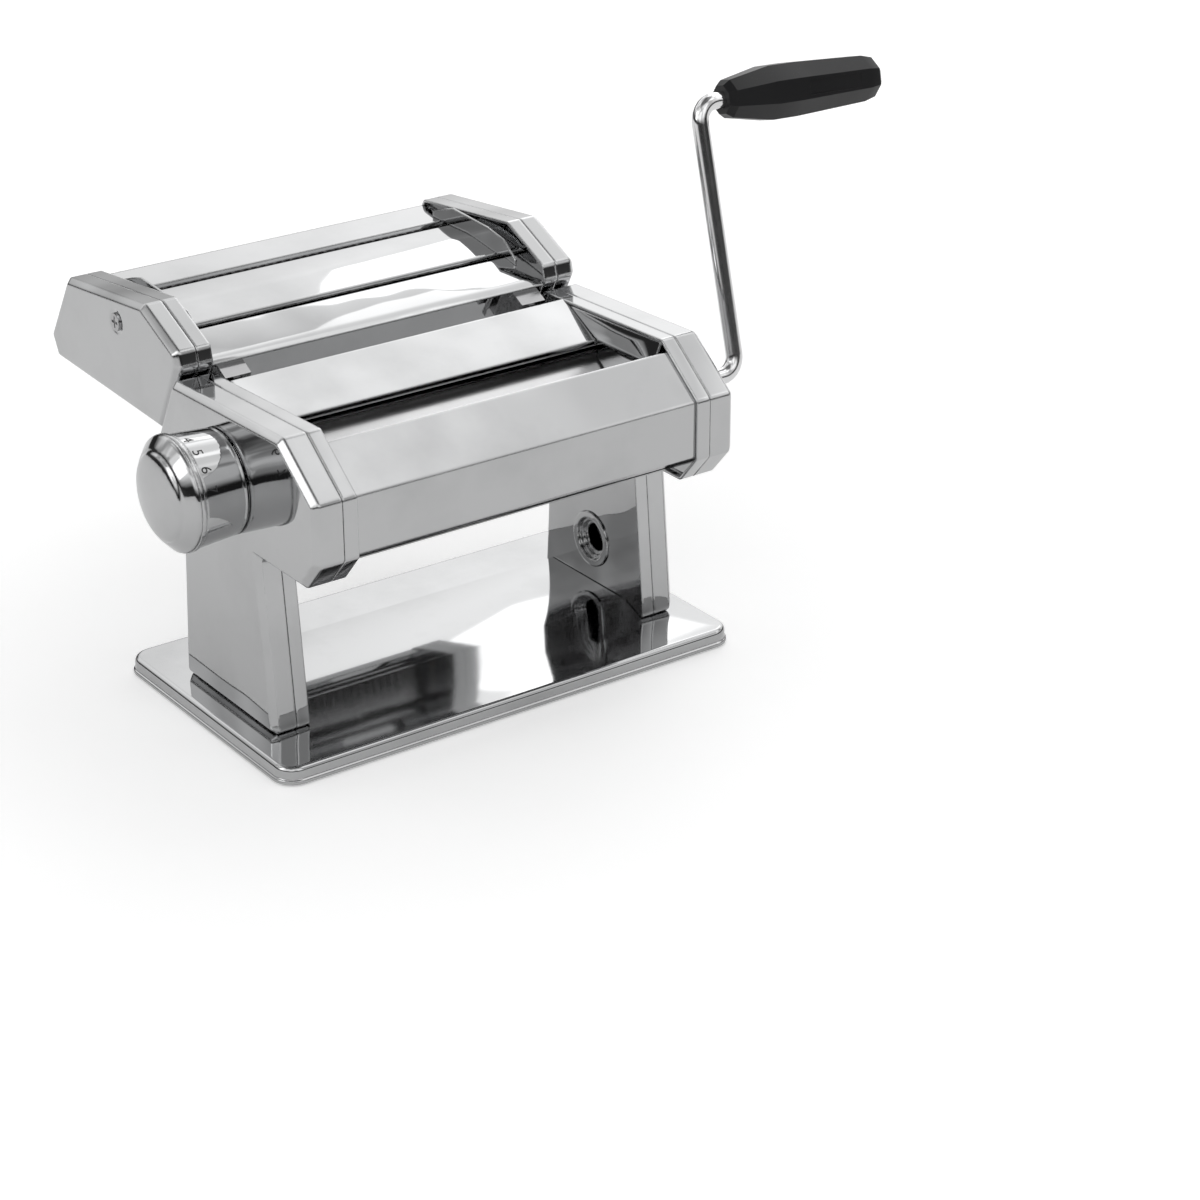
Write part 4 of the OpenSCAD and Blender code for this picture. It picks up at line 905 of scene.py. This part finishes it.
class Studio:
    """The floor, the light and the camera."""

    floor_half: float = 6.0
    floor_grey: float = 0.88
    floor_rough: float = 0.9
    floor_lift: float = 0.32
    floor_glossy_lift: float = 0.12
    panel_level: tuple[float, float] = (0.55, 1.35)
    wall_way: Point = (0.68, 0.61, 0.41)
    wall_level: float = 1.5
    surround_glossy_lift: float = 0.03

    def __init__(self, sizes: CameraSizes) -> None:
        """Args:
            sizes: where the camera stands.
        """
        self.sizes = sizes

    def build(self) -> None:
        """Makes the floor, the light and the camera."""
        self.floor()
        self.world()
        for box in SOFTBOXES:
            self.softbox(box)
        self.camera()

    def floor(self) -> None:
        """Lays a plain pale floor under the feet."""
        size = self.floor_half
        mesh = bpy.data.meshes.new("floor")
        corners = [(-size, -size, 0.0), (size, -size, 0.0), (size, size, 0.0),
                   (-size, size, 0.0)]
        mesh.from_pydata(corners, [], [(0, 1, 2, 3)])
        obj = bpy.data.objects.new("floor", mesh)
        bpy.context.scene.collection.objects.link(obj)
        material = bpy.data.materials.new("floor_paper")
        tree = fresh_tree(material)
        shader = tree.add("ShaderNodeBsdfPrincipled")
        shader.inputs["Base Color"].default_value = (*[self.floor_grey] * 3, 1.0)
        shader.inputs["Roughness"].default_value = self.floor_rough
        seen = self.background_rays(tree, self.floor_lift, self.floor_glossy_lift)
        shader.inputs["Emission Color"].default_value = (1.0, 1.0, 1.0, 1.0)
        tree.link(seen, shader.inputs["Emission Strength"])
        out = tree.add("ShaderNodeOutputMaterial")
        tree.link(shader.outputs["BSDF"], out.inputs["Surface"])
        mesh.materials.append(material)

    def world(self) -> None:
        """Makes a plain pale surround with a darker band that the chrome picks up."""
        world = bpy.data.worlds.new("surround")
        bpy.context.scene.world = world
        tree = fresh_tree(world)
        coords = tree.add("ShaderNodeTexCoord")
        parts = tree.add("ShaderNodeSeparateXYZ")
        tree.link(coords.outputs["Generated"], parts.inputs["Vector"])
        ramp = tree.add("ShaderNodeValToRGB")
        tree.link(tree.spread(parts.outputs["Z"], -1.0, 1.0), ramp.inputs["Fac"])
        while len(ramp.color_ramp.elements) < len(SURROUND_GREYS):
            ramp.color_ramp.elements.new(0.5)
        for element, (place, grey) in zip(ramp.color_ramp.elements, SURROUND_GREYS):
            element.position = place
            element.color = (grey, grey, grey, 1.0)
        cloudy = tree.noise(coords.outputs["Generated"], *PANEL_NOISE)
        panels = tree.spread(cloudy, *PANEL_SEEN, *self.panel_level)
        banded = tree.math("MULTIPLY", ramp.outputs["Color"], panels)
        towards = tree.add("ShaderNodeVectorMath", operation="DOT_PRODUCT")
        tree.link(coords.outputs["Generated"], towards.inputs[0])
        towards.inputs[1].default_value = self.wall_way
        wall = tree.spread(towards.outputs["Value"], *WALL_SEEN)
        level = tree.math("MAXIMUM", banded, tree.math("MULTIPLY", wall, self.wall_level))
        seen = self.background_rays(tree, 1.0, self.surround_glossy_lift)
        shown = tree.math("MAXIMUM", level, seen)
        back = tree.add("ShaderNodeBackground")
        tree.link(shown, back.inputs["Color"])
        back.inputs["Strength"].default_value = 1.0
        out = tree.add("ShaderNodeOutputWorld")
        tree.link(back.outputs["Background"], out.inputs["Surface"])

    def background_rays(self, tree: Tree, straight: float, glossy: float) -> bpy.types.NodeSocket:
        """Adds the light by which rays see the background paler than it lights the machine.

        Args:
            tree: the tree it goes into, which is a material's or the world's own.
            straight: what the camera's rays and those through glass see.
            glossy: what reflected rays see.

        Returns:
            The socket of that level.
        """
        path = tree.add("ShaderNodeLightPath")
        camera, through = path.outputs["Is Camera Ray"], path.outputs["Is Transmission Ray"]
        direct = tree.math("ADD", camera, through)
        return tree.math("ADD", tree.math("MULTIPLY", direct, straight),
                         tree.math("MULTIPLY", path.outputs["Is Glossy Ray"], glossy))

    def softbox(self, box: Softbox) -> None:
        """Hangs a soft area light.

        Args:
            box: its settings.
        """
        light = bpy.data.lights.new(box.name, "AREA")
        light.shape = "RECTANGLE"
        light.size, light.size_y = box.size
        light.energy = box.watts
        obj = bpy.data.objects.new(box.name, light)
        bpy.context.scene.collection.objects.link(obj)
        obj.location = box.place
        obj.rotation_mode = "QUATERNION"
        obj.rotation_quaternion = (Vector(box.aim) - Vector(box.place)).to_track_quat("-Z", "Y")

    def camera(self) -> None:
        """Stands the camera at its place, level and turned by its yaw and pitch."""
        sizes = self.sizes
        data = bpy.data.cameras.new("camera")
        data.lens = sizes.lens_mm
        data.sensor_width = sizes.sensor_mm
        data.clip_start, data.clip_end = sizes.clip
        obj = bpy.data.objects.new("camera", data)
        bpy.context.scene.collection.objects.link(obj)
        yaw, pitch = math.radians(sizes.yaw_deg), math.radians(sizes.pitch_deg)
        flat = math.cos(pitch)
        ahead = Vector((math.sin(yaw) * flat, math.cos(yaw) * flat, -math.sin(pitch)))
        obj.location = sizes.place
        obj.rotation_mode = "QUATERNION"
        obj.rotation_quaternion = ahead.to_track_quat("-Z", "Y")
        bpy.context.scene.camera = obj


def main() -> None:
    """Dresses the model, then sets up the studio."""
    logging.basicConfig(level=logging.INFO)
    bpy.context.scene.view_settings.view_transform = "Standard"
    shop = FinishShop()
    for part in (Stand, Body, RollerTrain, Knob, Crank, Cutter):
        part(shop).build()
    Studio(CameraSizes()).build()


if __name__ == "__main__":
    main()
